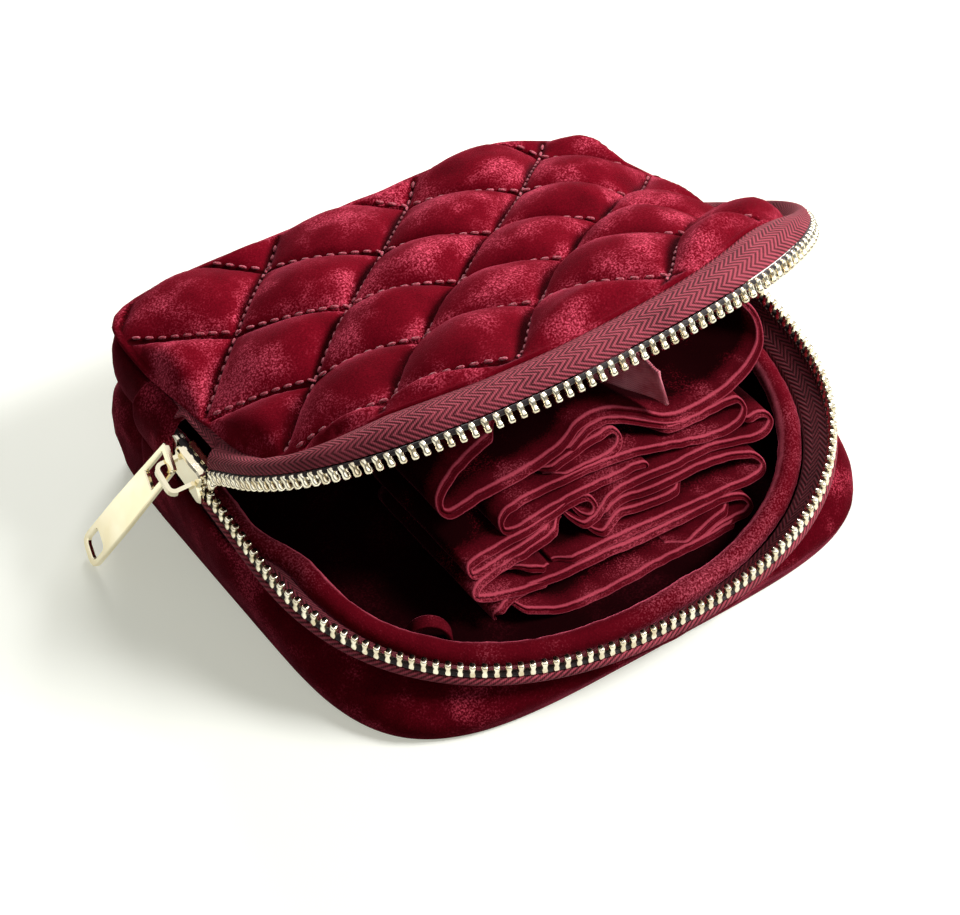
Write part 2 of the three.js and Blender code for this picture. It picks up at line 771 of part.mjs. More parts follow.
function traceBack() {
  const fineSteps = 400;
  const low = Math.asin(clamp01((backStartY - footMiddle) / footDepth) ** (backPower / 2));
  let length = 0;
  const trace = [];
  for (let i = 0; i <= fineSteps; i++) {
    const angle = mix(low, Math.PI - low, i / fineSteps);
    const c = Math.cos(angle);
    const x = halfWidth * Math.sign(c) * Math.abs(c) ** (2 / backPower);
    const y = footMiddle + footDepth * Math.sin(angle) ** (2 / backPower);
    if (i > 0) length += Math.hypot(x - trace[i - 1].x, y - trace[i - 1].y);
    trace.push({ x, y, length });
  }
  return trace;
}

const backTrace = traceBack();

function backAt(share) {
  const target = share * backTrace[backTrace.length - 1].length;
  let i = 1;
  while (i < backTrace.length - 1 && backTrace[i].length < target) i++;
  const [a, b] = [backTrace[i - 1], backTrace[i]];
  const t = clamp01((target - a.length) / (b.length - a.length));
  const [x, y] = [mix(a.x, b.x, t), mix(a.y, b.y, t)];
  const u = Math.sign(x) * Math.abs(x / halfWidth) ** (backPower - 1) / halfWidth;
  const v = ((y - footMiddle) / footDepth) ** (backPower - 1) / footDepth;
  const n = new THREE.Vector2(u, v * smooth((y - backStartY) / 8)).normalize();
  return { x, y, z: 0, nx: n.x, ny: n.y };
}

// The back wall bellies out below the fold, creases inward at the fold and tucks under the lid's edge
function backFace(p) {
  const sideways = Math.abs(p.nx);
  const fold = mix(backFoldDepth * 0.4, backFoldDepth, sideways);
  const reach = [-3, 0, 3, 5].map((step) => {
    const y = Math.min(p.y + step - 2.2 * p.ny, footBack - backInset);
    const under = vec(p.x * 0.955, y, 0);
    under.z = lidSurface(under.x, y) - padThickness;
    return raised(under, panelShare(under)).z;
  });
  const high = Math.min(...reach) - 2 * fitGap;
  const low = footRound;
  const points = [
    [0, low],
    [wallBulge, mix(low, backFoldHeight, 0.4)],
    [wallBulge * 0.8, mix(low, backFoldHeight, 0.75)],
    [-fold, backFoldHeight],
    [wallBulge * 0.3, mix(backFoldHeight, high, 0.35)],
    [wallBulge * 0.1, mix(backFoldHeight, high, 0.75)],
    [-1.6, high],
  ];
  return points;
}

function backOutline(p) {
  const face = backFace(p);
  const inner = face.map(([o, z]) => [o - wallThickness, z]).reverse();
  return [[-wallThickness, tableGap], [-footRound / 3, tableGap + 0.3], ...face, ...inner];
}

function backPanel() {
  const rings = [];
  const outlines = [];
  for (let i = 0; i <= backSteps; i++) {
    const p = backAt(i / backSteps);
    const outline = backOutline(p);
    rings.push(outline.map(([o, z]) => vec(p.x + p.nx * o, p.y + p.ny * o, z)));
    outlines.push(outline.map(([o, z]) => new THREE.Vector2(o, z)));
  }
  return loft(rings, outlines[0], outlines[backSteps]);
}

// Lining tub: closed loops just inside the walls, with a floor over the stiffening board
const boardLow = bottomThickness + fitGap;
const liningFloor = boardLow + boardThickness + fitGap;

function liningTub() {
  const stations = [];
  for (let i = 0; i <= wallSteps; i++) {
    const p = zipAt(zipLength * (i / wallSteps));
    const face = wallFace(p);
    const high = p.z - seamDrop - rimRadius - fitGap;
    stations.push({ p, high, out: (t) => face.outAt(clamp01((mix(liningFloor, high, t) - face.low) / (face.high - face.low))) });
  }
  for (let i = 0; i <= backSteps; i++) {
    const p = backAt(i / backSteps);
    const face = backFace(p);
    const rise = smooth((p.y - backStartY - 1) / 10);
    const high = mix(zipHeight(coveredEndY) - seamDrop - rimRadius - fitGap, face[6][1] - 3, rise);
    const deepest = Math.min(...face.map(([o]) => o));
    stations.push({ p, high, out: (t) => deepest * clamp01(t / 0.3) });
  }
  const levels = [0, 0.3, 0.6, 0.8, 1];
  const loop = (t, deep, lift) => stations.map(({ p, high, out }) => {
    const near = [-0.24, -0.12, 0, 0.12, 0.24].map((step) => out(clamp01(t + step)));
    const o = Math.min(...near) - wallThickness - 2 * fitGap - deep;
    return vec(p.x + p.nx * o, p.y + p.ny * o, Math.max(mix(liningFloor, high, t), lift));
  });
  const outer = levels.map((t) => loop(t, 0, 0));
  const inner = levels.slice().reverse().map((t) => loop(t, liningThickness, liningFloor + liningThickness));
  const floorMiddle = (z) => vec(0, footMiddle, z);
  return loft([...outer, ...inner], floorMiddle(liningFloor), floorMiddle(liningFloor + liningThickness));
}

// Velvet cover over the tape ends beside the hinge: from the wall's top edge to the lid's edge
const coverStartY = 28;

function endCover(sideSign) {
  const steps = 6;
  const nearX = halfWidth + tapeThickness / 2 + fitGap;
  const rings = [];
  for (let i = 0; i <= steps; i++) {
    const y = mix(coverStartY, coveredEndY - fitGap, i / steps);
    const edge = vec(sideSign * (halfWidth - sideInset), y, lidSurface(halfWidth - sideInset, y) - padThickness);
    const high = raised(edge, panelShare(edge)).z - 1.2;
    const low = zipHeight(y) - seamDrop + fitGap;
    const swell = 0.8 * Math.sin((Math.PI * i) / steps);
    rings.push([
      vec(sideSign * nearX, y, low),
      vec(sideSign * (nearX + wallEdgeThickness), y, low),
      vec(sideSign * (nearX + wallEdgeThickness + swell), y, mix(low, high, 0.5)),
      vec(sideSign * (nearX + wallEdgeThickness * 0.6), y, high),
      vec(sideSign * nearX, y, high),
    ]);
  }
  const outline = rings[0].map((q) => new THREE.Vector2(q.x, q.z));
  return loft(rings, outline, outline);
}

// Folded jewelry strip. Its front edge zigzags up a leaning plane and the cloth runs straight back from it.
const stackPoint = (x, q, back = 0) => {
  const [fy, fz] = stripFoot;
  const [ty, tz] = stripTop;
  const length = Math.hypot(ty - fy, tz - fz);
  return vec(x, fy + (q * (ty - fy)) / length + back, fz + (q * (tz - fz)) / length);
};

// A ribbon of cloth from its front edge's path in the leaning plane
function ribbon(path, wide, thickness) {
  const points = path.map(([x, q]) => stackPoint(x, q));
  const half = thickness / 2;
  const rings = points.map((p, i) => {
    const a = points[Math.max(0, i - 1)];
    const b = points[Math.min(points.length - 1, i + 1)];
    const t = new THREE.Vector2(b.x - a.x, b.z - a.z).normalize();
    const up = vec(-t.y * half, 0, t.x * half);
    const back = vec(0, wide, 0);
    return [p.clone().add(up), p.clone().sub(up), p.clone().sub(up).add(back), p.clone().add(up).add(back)];
  });
  const outline = [[0, 1], [0, 0], [1, 0], [1, 1]].map(([x, y]) => new THREE.Vector2(x, y));
  return loft(rings, outline, outline);
}

// Zigzag path through the folds: each turn is a half circle at its end of the stack
function zigzag(start, rights, lefts, end) {
  const path = [...start];
  const turnSteps = 6;
  const turn = ([x, q], sign) => {
    for (let i = 0; i <= turnSteps; i++) {
      const angle = Math.PI / 2 - (Math.PI * i) / turnSteps;
      path.push([x + sign * stripTurn * Math.cos(angle), q + stripTurn * Math.sin(angle)]);
    }
  };
  rights.forEach((right, i) => {
    turn(right, 1);
    turn(lefts[i], -1);
  });
  path.push(...end);
  return path;
}

// Level of the strip's last run, resting on the lining
const restLevel = () => {
  const slope = (stripTop[1] - stripFoot[1]) / Math.hypot(stripTop[0] - stripFoot[0], stripTop[1] - stripFoot[1]);
  return (liningFloor + liningThickness + fitGap + stripThickness / 2 - stripFoot[1]) / slope;
};

const foldedPath = zigzag([[-6, 28]], foldRight, foldLeft, [[-20, restLevel() + 1.2], [-4, restLevel()], [26, restLevel()]]);

// Top wrap: one cloth with both ends curled up and over
const wrapPath = new THREE.CatmullRomCurve3(
  [[-12, 43.5], [-28, 40], [-37, 36], [-36, 31.6], [-16, 31], [4, 33], [23, 33.4], [40, 29.9], [56, 31.4], [65, 37], [64, 43], [54, 46.5], [38, 46]]
    .map(([x, q]) => vec(x, q, 0)),
).getPoints(34).map((p) => [p.x, p.y]);

// Hemmed flap inside the wrap
const flapPath = new THREE.CatmullRomCurve3(
  [[-9, 35.4], [2, 36.6], [14, 37.6], [24, 37.2], [32, 34.4]].map(([x, q]) => vec(x, q, 0)),
).getPoints(10).map((p) => [p.x, p.y]);

// Small loop sewn to the lining at the left of the strip
function sewnLoop() {
  const path = [];
  const steps = 8;
  for (let i = 0; i <= steps; i++) {
    const angle = (Math.PI * i) / steps;
    path.push([-loopWidth * 0.5 * Math.cos(angle), loopHeight * Math.sin(angle)]);
  }
  const low = liningFloor + liningThickness + fitGap;
  const rings = path.map(([x, z], i) => {
    const a = path[Math.max(0, i - 1)];
    const b = path[Math.min(steps, i + 1)];
    const t = new THREE.Vector2(b[0] - a[0], b[1] - a[1]).normalize();
    const [half, deep] = [loopThickness / 2, loopDepth / 2];
    return [[half, deep], [half, -deep], [-half, -deep], [-half, deep]]
      .map(([m, w]) => vec(x - m * t.y, w, z + m * t.x));
  });
  const outline = [[1, 1], [1, -1], [-1, -1], [-1, 1]].map(([x, y]) => new THREE.Vector2(x, y));
  const geometry = loft(rings, outline, outline);
  geometry.rotateZ(loopTurn);
  geometry.translate(...loopPlace, low);
  return geometry;
}

const deepVelvet = velvet('#7a1028');
const innerVelvet = velvet('#5c0a1e');
const tapeCloth = velvet('#8a1c38', 0.75);
const zipMetal = metal('#c9a95e', 0.28);
const pullMetal = metal('#e6d9b4', 0.22);

const named = (name, geometry, material) => {
  const mesh = new THREE.Mesh(geometry, material.clone());
  mesh.name = name;
  return mesh;
};

const jewelryCase = new THREE.Group();
const basePart = new THREE.Group();
const lidPart = new THREE.Group();
jewelryCase.add(basePart, lidPart);

// Base
const bottomInset = wallThickness + 0.4;
basePart.add(
  named('bottom_panel', floorPlate(bottomInset + 0.4, 0, bottomThickness), velvet('#4a0a1a')),
  named('bottom_board', floorPlate(bottomInset + 0.9, boardLow, boardThickness), velvet('#6d6258', 0.9)),
  named('base_wall', alongZip(0, zipLength, wallSteps, wallOutline), deepVelvet),
  named('back_panel', backPanel(), deepVelvet),
  named('base_lining', liningTub(), innerVelvet),
  named('base_rim_roll', alongZip(0, zipLength, wallSteps, rimOutline), deepVelvet),
  named('base_zip_tape', alongZip(0, zipLength, wallSteps, baseTapeOutline), tapeCloth),
);

// Rows of teeth: the lid row starts half a tooth later, and its first teeth stay with the base, inside the slider
const rowStart = leftRun(zipStartY);
const baseRowEnd = rightRun(zipEndY);
const rigidStart = leftRun(hingeLeftY - rowFoldLeft[1]);
const endTeeth = Math.ceil((rigidStart - rowStart) / toothPitch);
const bendRow = (q) => raised(q, rowShare(q));
const lidRowStart = rowStart + toothPitch / 2;
const lidRowSplit = lidRowStart + endTeeth * toothPitch;
basePart.add(
  named('base_zip_teeth', toothRow(rowStart, baseRowEnd, -1), zipMetal),
  named('lid_teeth_end', toothRow(lidRowStart, lidRowSplit + 0.01, 1, bendRow), zipMetal),
  named('left_end_tab', endCover(-1), deepVelvet),
  named('right_end_tab', endCover(1), deepVelvet),
);

// Stops
const stopLength = 2.2;
const bottomStop = roundedBox(toothThickness + 0.6, stopLength, 2 * toothFoot, 0.3);
bottomStop.rotateX(Math.atan(zipRise));
bottomStop.translate(-halfWidth, zipStartY + 0.8 + stopLength / 2, zipHeight(zipStartY + 0.8 + stopLength / 2));
const topStop = (side) => {
  const y = zipEndY + 0.5 + stopLength / 2;
  const stop = roundedBox(toothThickness + 0.4, stopLength, toothHeight, 0.3);
  stop.rotateX(Math.atan(zipRise));
  stop.translate(halfWidth, y, zipHeight(y) + side * mix(toothTop, toothFoot, 0.5));
  return stop;
};
basePart.add(
  named('bottom_stop', bottomStop, zipMetal),
  named('base_top_stop', topStop(-1), zipMetal),
);

// Folded strip, wrap, flap and loop
basePart.add(
  named('insert_folded_strip', ribbon(foldedPath, stripWidth, stripThickness), deepVelvet),
  named('insert_top_wrap', ribbon(wrapPath, stripWidth, stripThickness), deepVelvet),
  named('insert_flap', ribbon(flapPath, stripWidth * 0.7, 1), tapeCloth),
  named('ring_loop', sewnLoop(), deepVelvet),
);

// Slider, bridge and pull tab
const sliderPart = new THREE.Group();
sliderPart.position.set(-halfWidth, sliderY, zipHeight(sliderY));
sliderPart.rotation.x = Math.atan(zipRise);
sliderPart.add(
  named('slider', sliderBody(), pullMetal),
  named('slider_bridge', sliderBridge(), pullMetal),
);
basePart.add(sliderPart);

const tabDown = vec(-0.346, 0.404, -0.848).normalize();
const tabAcross = vec(-0.22, -0.91, -0.345).normalize();
const tabOut = tabAcross.clone().cross(tabDown).normalize();
tabAcross.copy(tabDown).cross(tabOut);
const tabHang = vec(outerFace - fitGap - bridgeReach + tabHangDepth, ...bridgeRearFoot);
const tabPart = new THREE.Group();
tabPart.matrixAutoUpdate = false;
const sliderTurn = new THREE.Matrix4().makeRotationX(sliderPart.rotation.x);
const hang = tabHang.clone().applyMatrix4(sliderTurn).add(sliderPart.position);
tabPart.matrix.makeBasis(tabAcross, tabDown, tabOut).setPosition(hang);
tabPart.add(named('pull_tab', pullTab(), pullMetal));
basePart.add(tabPart);

// Lid: soft pieces are laid in the raised pose, the rigid row is built closed and turned about the hinge line
lidPart.add(
  named('lid_quilted_panel', quiltedPanel(), deepVelvet),
  named('lid_lining', lidLining(), innerVelvet),
  named('lid_zip_tape', lidTape(), tapeCloth),
);
const lidTurn = new THREE.Group();
lidTurn.position.copy(hingeLeft);
lidTurn.quaternion.setFromAxisAngle(hingeAxis, -openAngle);
const lidRow = toothRow(lidRowSplit + fitGap, baseRowEnd, 1);
const lidStop = topStop(1);
for (const geometry of [lidRow, lidStop]) {
  geometry.translate(-hingeLeft.x, -hingeLeft.y, -hingeLeft.z);
}
lidTurn.add(
  named('lid_zip_teeth', lidRow, zipMetal),
  named('lid_top_stop', lidStop, zipMetal),
);
lidPart.add(lidTurn);

export default jewelryCase;
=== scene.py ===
"""Velvet jewelry case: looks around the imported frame. Sizes in millimetres, turned to metres at the end."""

import math

import bmesh
import bpy
import numpy as np
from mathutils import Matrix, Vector


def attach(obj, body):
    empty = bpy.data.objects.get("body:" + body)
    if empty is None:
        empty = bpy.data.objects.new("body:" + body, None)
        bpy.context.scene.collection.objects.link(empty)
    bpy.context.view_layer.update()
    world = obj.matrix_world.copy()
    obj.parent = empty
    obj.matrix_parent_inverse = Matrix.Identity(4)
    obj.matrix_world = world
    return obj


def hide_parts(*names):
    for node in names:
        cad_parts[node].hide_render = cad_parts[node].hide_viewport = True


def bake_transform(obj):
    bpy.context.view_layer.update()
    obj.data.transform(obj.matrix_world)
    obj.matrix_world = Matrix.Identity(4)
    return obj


MM = 0.001

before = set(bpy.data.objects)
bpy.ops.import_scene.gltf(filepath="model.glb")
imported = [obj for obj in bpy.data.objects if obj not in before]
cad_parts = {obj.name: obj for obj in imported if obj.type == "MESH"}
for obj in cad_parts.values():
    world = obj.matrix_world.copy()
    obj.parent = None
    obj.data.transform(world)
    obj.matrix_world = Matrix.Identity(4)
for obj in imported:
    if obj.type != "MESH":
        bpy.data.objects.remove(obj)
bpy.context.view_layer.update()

# Camera

VIEW_AZIMUTH = math.radians(-34.98)
VIEW_ELEVATION = math.radians(44.15)
VIEW_TARGET = np.array([0.36, 11.93, 0.0])
VIEW_DISTANCE = 668.9
VIEW_WIDTH, VIEW_HEIGHT = 960, 915

camera_data = bpy.data.cameras.new("camera")
camera_data.lens = 94.87
camera_data.sensor_width = 36
camera_data.clip_start = 0.01
camera = bpy.data.objects.new("camera", camera_data)
view_back = np.array([
    math.sin(VIEW_AZIMUTH) * math.cos(VIEW_ELEVATION),
    -math.cos(VIEW_AZIMUTH) * math.cos(VIEW_ELEVATION),
    math.sin(VIEW_ELEVATION),
])
view_right = np.array([math.cos(VIEW_AZIMUTH), math.sin(VIEW_AZIMUTH), 0.0])
view_up = np.cross(view_back, view_right)
view_eye = VIEW_TARGET + VIEW_DISTANCE * view_back
view_focus = camera_data.lens / camera_data.sensor_width * VIEW_WIDTH
camera.location = view_eye * MM
camera.rotation_euler = Vector(view_back).to_track_quat("Z", "Y").to_euler()
bpy.context.scene.collection.objects.link(camera)
bpy.context.scene.camera = camera

# Case shape, as in the solids

HALF = 80.0
FOOT_FRONT, FOOT_BACK, FOOT_POWER, BACK_POWER = -69.0, 71.5, 4.3, 9.0
FOOT_MIDDLE = (FOOT_FRONT + FOOT_BACK) / 2
FOOT_DEPTH = (FOOT_BACK - FOOT_FRONT) / 2
FRONT_EDGE, SHOULDER, FRONT_POWER = -75.1, -10.0, 2.25
ZIP_LOW, ZIP_RISE, PITCH = 20.0, 0.1743, 2.85
ZIP_START_Y, ZIP_END_Y, COVERED_Y = 23.3, 17.0, 40.7
SEAM_DROP, TAPE_FLARE = 9.5, 6.5
TAPE_HALF, TAPE_AIR, WALL_TOP_DEPTH = 0.35, 0.3, 1.8
WALL, WALL_LOW, RIM_RADIUS = 2.4, 2.6, 3.2
HINGE_Y, OPEN_ANGLE = 12.0, math.radians(44.5)
HINGE_LEFT = np.array([-HALF, HINGE_Y, ZIP_LOW + ZIP_RISE * (HINGE_Y - FRONT_EDGE) - 0.7])
HINGE_RIGHT = np.array([HALF, 20.0, HINGE_LEFT[2]])
HINGE_AXIS = (HINGE_RIGHT - HINGE_LEFT) / np.linalg.norm(HINGE_RIGHT - HINGE_LEFT)
FORWARD = np.array([HINGE_AXIS[1], -HINGE_AXIS[0], 0.0])
PAD_THICKNESS, SIDE_INSET, FRONT_INSET, BACK_INSET = 2.2, 4.0, 7.5, 1.5
QUILT_ORIGIN = np.array([-76.0, 15.9])
QUILT_A = np.array([23.6, -19.9])
QUILT_B = np.array([21.1, 21.7])


def smooth(t):
    t = np.clip(t, 0, 1)
    return t * t * (3 - 2 * t)


def mix(a, b, t):
    return a + (b - a) * t


def unit(v):
    return v / np.linalg.norm(v, axis=-1, keepdims=True)


def spots(*columns):
    """Points from their coordinates, arrays or plain numbers."""
    return np.stack(np.broadcast_arrays(*columns), axis=-1)


def travelled(points):
    """The run along a line of points, from the first to each."""
    return np.concatenate([[0], np.cumsum(np.linalg.norm(np.diff(points, axis=0), axis=1))])


def even_line(points, count):
    """Points at even distances along a line through the given ones."""
    run = travelled(points)
    even = np.linspace(0, run[-1], count + 1)
    return spots(*(np.interp(even, run, column) for column in points.T))


def oval(angle, wide, deep, power):
    """Points on an oval of the given half sizes; a higher power gives squarer corners."""
    c, s = np.cos(angle), np.sin(angle)
    return wide * np.sign(c) * np.abs(c) ** (2 / power), deep * np.sign(s) * np.abs(s) ** (2 / power)


def zip_height(y):
    return ZIP_LOW + ZIP_RISE * (y - FRONT_EDGE)


def zip_normal(x, y):
    u = np.abs(x / HALF) ** (FRONT_POWER - 1) / HALF
    depth = SHOULDER - FRONT_EDGE
    v = np.clip((SHOULDER - y) / depth, 0, None) ** (FRONT_POWER - 1) / depth
    straight = y >= SHOULDER
    nx = np.where(straight, np.sign(x), np.sign(x) * u)
    ny = np.where(straight, 0, -v)
    length = np.hypot(nx, ny)
    return nx / length, ny / length


def trace_zip():
    x, y = oval(np.pi * (1 - np.arange(1201) / 1200), HALF, SHOULDER - FRONT_EDGE, FRONT_POWER)
    side = np.linspace(COVERED_Y, SHOULDER, 40, endpoint=False)
    x = np.concatenate([np.full(40, -HALF), x, np.full(40, HALF)])
    y = np.concatenate([side, SHOULDER - y, side[::-1]])
    return x, y, travelled(spots(x, y, zip_height(y)))


TRACE_X, TRACE_Y, TRACE_RUN = trace_zip()
ZIP_LENGTH = TRACE_RUN[-1]


def zip_at(run):
    """Places on the zip line after the given runs, with their outward directions."""
    x, y = np.interp(run, TRACE_RUN, TRACE_X), np.interp(run, TRACE_RUN, TRACE_Y)
    return x, y, *zip_normal(x, y)


def left_run(y):
    return (COVERED_Y - y) * math.hypot(1, ZIP_RISE)


def beside(run, out, height):
    """Points beside the zip line: outward by out and up by height."""
    x, y, nx, ny = zip_at(run)
    return spots(x + nx * out, y + ny * out, zip_height(y) + height)


def foot_offset(run):
    """Distance from the zip line outward to the foot's outline, found by halving."""
    x, y, nx, ny = zip_at(run)
    low, high = np.full_like(run, -30.0), np.full_like(run, 30.0)
    for _ in range(40):
        middle = (low + high) / 2
        wide, deep = (x + nx * middle) / HALF, (y + ny * middle - FOOT_MIDDLE) / FOOT_DEPTH
        power = np.where(deep > 0, BACK_POWER, FOOT_POWER)
        over = np.abs(wide) ** power + np.abs(deep) ** power > 1
        low, high = np.where(over, low, middle), np.where(over, middle, high)
    return low


def lean(y):
    """Share of the tape's flare: none beside the hinge, all along the front."""
    return smooth((5 - y) / 20)


def ahead(p):
    return (p - HINGE_LEFT) @ FORWARD


def raised(p, share):
    """Points turned up about the hinge line by a share of the open angle, along the chord."""
    d = p - HINGE_LEFT
    c, s = math.cos(-OPEN_ANGLE), math.sin(-OPEN_ANGLE)
    along = (d @ HINGE_AXIS)[..., None] * HINGE_AXIS
    turned = d * c + np.cross(HINGE_AXIS, d) * s + along * (1 - c) + HINGE_LEFT
    return p + (turned - p) * np.asarray(share)[..., None]


def panel_share(p):
    return smooth((ahead(p) + 62) / 173.3)


def row_share(p):
    left = smooth((ahead(p) - 1) / 8)
    right = smooth((ahead(p) + 4) / 6.5)
    return np.where(p[..., 0] > 0, right, left)


def no_share(p):
    return 0 * p[..., 0]


def full_share(p):
    return no_share(p) + 1


def bend_panel(p):
    return raised(p, panel_share(p))


def lid_surface(x, y):
    """Height of the shut lid between its puffs: a dome over the edge line, settled at the back corners."""
    front = zip_height(np.minimum(y, HINGE_Y)) + 13.5
    edge = mix(front, 47.5, np.clip((y - HINGE_Y) / (FOOT_BACK - HINGE_Y), 0, 1))
    d = y / FOOT_DEPTH
    dome = 17 - 3 * d - 20 * d * d
    across = np.clip(1 - np.abs(x / (HALF - SIDE_INSET)) ** 2.5, 0, 1)
    front_ramp = np.clip((y - FRONT_EDGE - 5) / 18, 0, 1) ** 0.5
    back_ramp = np.clip((FOOT_BACK - y) / 14, 0, 1) ** 0.5
    left = 1.5 * smooth((-x - 40) / 40) * smooth((y - 25) / 45)
    right = smooth((x - 40) / 36) * (4.2 + 6 * smooth((y - 30) / 35))
    return edge + 2 + dome * across * front_ramp * back_ramp - left - right


def on_lid(plan, over=0.0):
    """Points of the lid's surface over the given places, lifted by over."""
    return spots(*plan.T, lid_surface(*plan.T) + over)


def panel_inset(x, y):
    return mix(SIDE_INSET, FRONT_INSET, np.where(x > 0, smooth((-40 - y) / 28), lean(y)))


def lid_outline(extra):
    """The pad's outline seen from above, drawn in by extra."""
    left = np.interp(-30.0, -TRACE_Y[:600], TRACE_RUN[:600])
    run = np.linspace(left, ZIP_LENGTH - left, 121)
    x, y, _, _ = zip_at(run)
    front = beside(run, -(panel_inset(x, y) + extra), 0.0)[:, :2]
    deep = FOOT_BACK - BACK_INSET - extra - 30
    x, y = oval(np.pi * np.arange(1, 400) / 400, HALF - SIDE_INSET - extra, deep, 9)
    back = np.concatenate([front[-1:], spots(x, 30 + y), front[:1]])
    return np.concatenate([front, even_line(back, 60)[1:-1]])


# Seeded noise for folds and creases


def value_noise(p, size, seed):
    q = p / size
    cell = np.floor(q).astype(np.int64)
    f = q - cell
    w = f * f * (3 - 2 * f)
    total = np.zeros(p.shape[:-1])
    for corner in range(8):
        bit = np.array([corner & 1, (corner >> 1) & 1, corner >> 2])
        k = cell + bit
        h = (k[..., 0] * 73856093) ^ (k[..., 1] * 19349663) ^ (k[..., 2] * 83492791) ^ (seed * 2654435)
        h = h & 0xFFFFFF
        h = (h * 1103515 + 12345) & 0xFFFFFF
        h = ((h ^ (h >> 7)) * 69069 + 1) & 0xFFFFFF
        total += np.prod(np.where(bit, w, 1 - w), axis=-1) * (h / 0xFFFFFF)
    return total * 2 - 1


def rumple(p, seed, *waves):
    """A sum of noises, each given as (height, size), with seeds that follow one another."""
    return sum(height * value_noise(p, size, seed + k) for k, (height, size) in enumerate(waves))


# Mesh helpers


def grid_faces(rows, cols, around=False):
    i, j = np.meshgrid(np.arange(rows - 1), np.arange(cols if around else cols - 1), indexing="ij")
    n = (j + 1) % cols
    quads = np.stack([i * cols + j, i * cols + n, (i + 1) * cols + n, (i + 1) * cols + j], axis=-1)
    return quads.reshape(-1, 4)


def tube_faces(rows, cols, copies=1):
    """Faces of closed bodies through rings of points, capped at both ends."""
    one = grid_faces(rows, cols, around=True).tolist()
    one += [list(range(cols)), [(rows - 1) * cols + k for k in range(cols)]]
    return [[v + i * rows * cols for v in face] for i in range(copies) for face in one]


def piece(name, verts, faces, material, uv=None):
    mesh = bpy.data.meshes.new(name)
    mesh.from_pydata((np.asarray(verts) * MM).tolist(), [], [list(map(int, f)) for f in faces])
    if uv is not None:
        layer = mesh.uv_layers.new(name="cut")
        index = np.empty(len(mesh.loops), dtype=np.int64)
        mesh.loops.foreach_get("vertex_index", index)
        layer.data.foreach_set("uv", np.asarray(uv, dtype=np.float32)[index].ravel())
    work = bmesh.new()
    work.from_mesh(mesh)
    bmesh.ops.recalc_face_normals(work, faces=work.faces)
    work.to_mesh(mesh)
    work.free()
    mesh.polygons.foreach_set("use_smooth", [True] * len(mesh.polygons))
    obj = bpy.data.objects.new(name, mesh)
    bpy.context.scene.collection.objects.link(obj)
    mesh.materials.append(material)
    return obj


def shell(name, rings, material, uv=None):
    return piece(name, rings.reshape(-1, 3), tube_faces(*rings.shape[:2]), material, uv)


def ring_uv(rings, along, across):
    """Cut coordinates of a shell: length along, and the given distance for each point of a ring."""
    rows, cols = rings.shape[:2]
    return spots(np.repeat(along, cols), np.tile(across, rows))


def woven(name, run, middle, face, half, material, width=None):
    """A cloth of the given half thickness on both sides of its middle face."""
    rings = np.concatenate([middle + face * half, (middle - face * half)[:, ::-1]], axis=1)
    width = travelled(middle[len(middle) // 2]) if width is None else width
    return shell(name, rings, material, ring_uv(rings, run, np.concatenate([width, width[::-1]])))


def face_of(middle):
    return unit(np.cross(np.gradient(middle, axis=0), np.gradient(middle, axis=1)))


def between(a, b, start, end, t):
    return (end - t) / (end - start) * a + (t - start) / (end - start) * b


def catmull(points, count):
    """Even points on a smooth curve through the given ones, and its length."""
    p = np.asarray(points, dtype=float)
    p = np.concatenate([[2 * p[0] - p[1]], p, [2 * p[-1] - p[-2]]])
    fine = []
    for i in range(1, len(p) - 2):
        four = p[i - 1:i + 3]
        gaps = np.maximum(np.linalg.norm(np.diff(four, axis=0), axis=1), 1e-6) ** 0.5
        k = np.concatenate([[0.0], np.cumsum(gaps)])
        t = np.linspace(k[1], k[2], 24, endpoint=False)[:, None]
        once = [between(four[j], four[j + 1], k[j], k[j + 1], t) for j in range(3)]
        twice = [between(once[j], once[j + 1], k[j], k[j + 2], t) for j in range(2)]
        fine.append(between(*twice, k[1], k[2], t))
    fine = np.concatenate(fine + [p[-2:-1]])
    return even_line(fine, count - 1), travelled(fine)[-1]


def capsules(name, middles, directions, ups, length, radius, material, sides=6):
    """Many small stitches: round-ended threads at the given places."""
    ends = [(-0.5, 0.35), (-0.36, 0.85), (-0.15, 1.0), (0.15, 1.0), (0.36, 0.85), (0.5, 0.35)]
    side = np.cross(directions, ups)
    angles = [2 * math.pi * k / sides for k in range(sides)]
    rings = [
        middles + directions * (s * length) + (side * math.cos(a) + ups * math.sin(a)) * (r * radius)
        for s, r in ends for a in angles
    ]
    verts = np.stack(rings, axis=1).reshape(-1, 3)
    return piece(name, verts, tube_faces(len(ends), sides, len(middles)), material)


# Materials


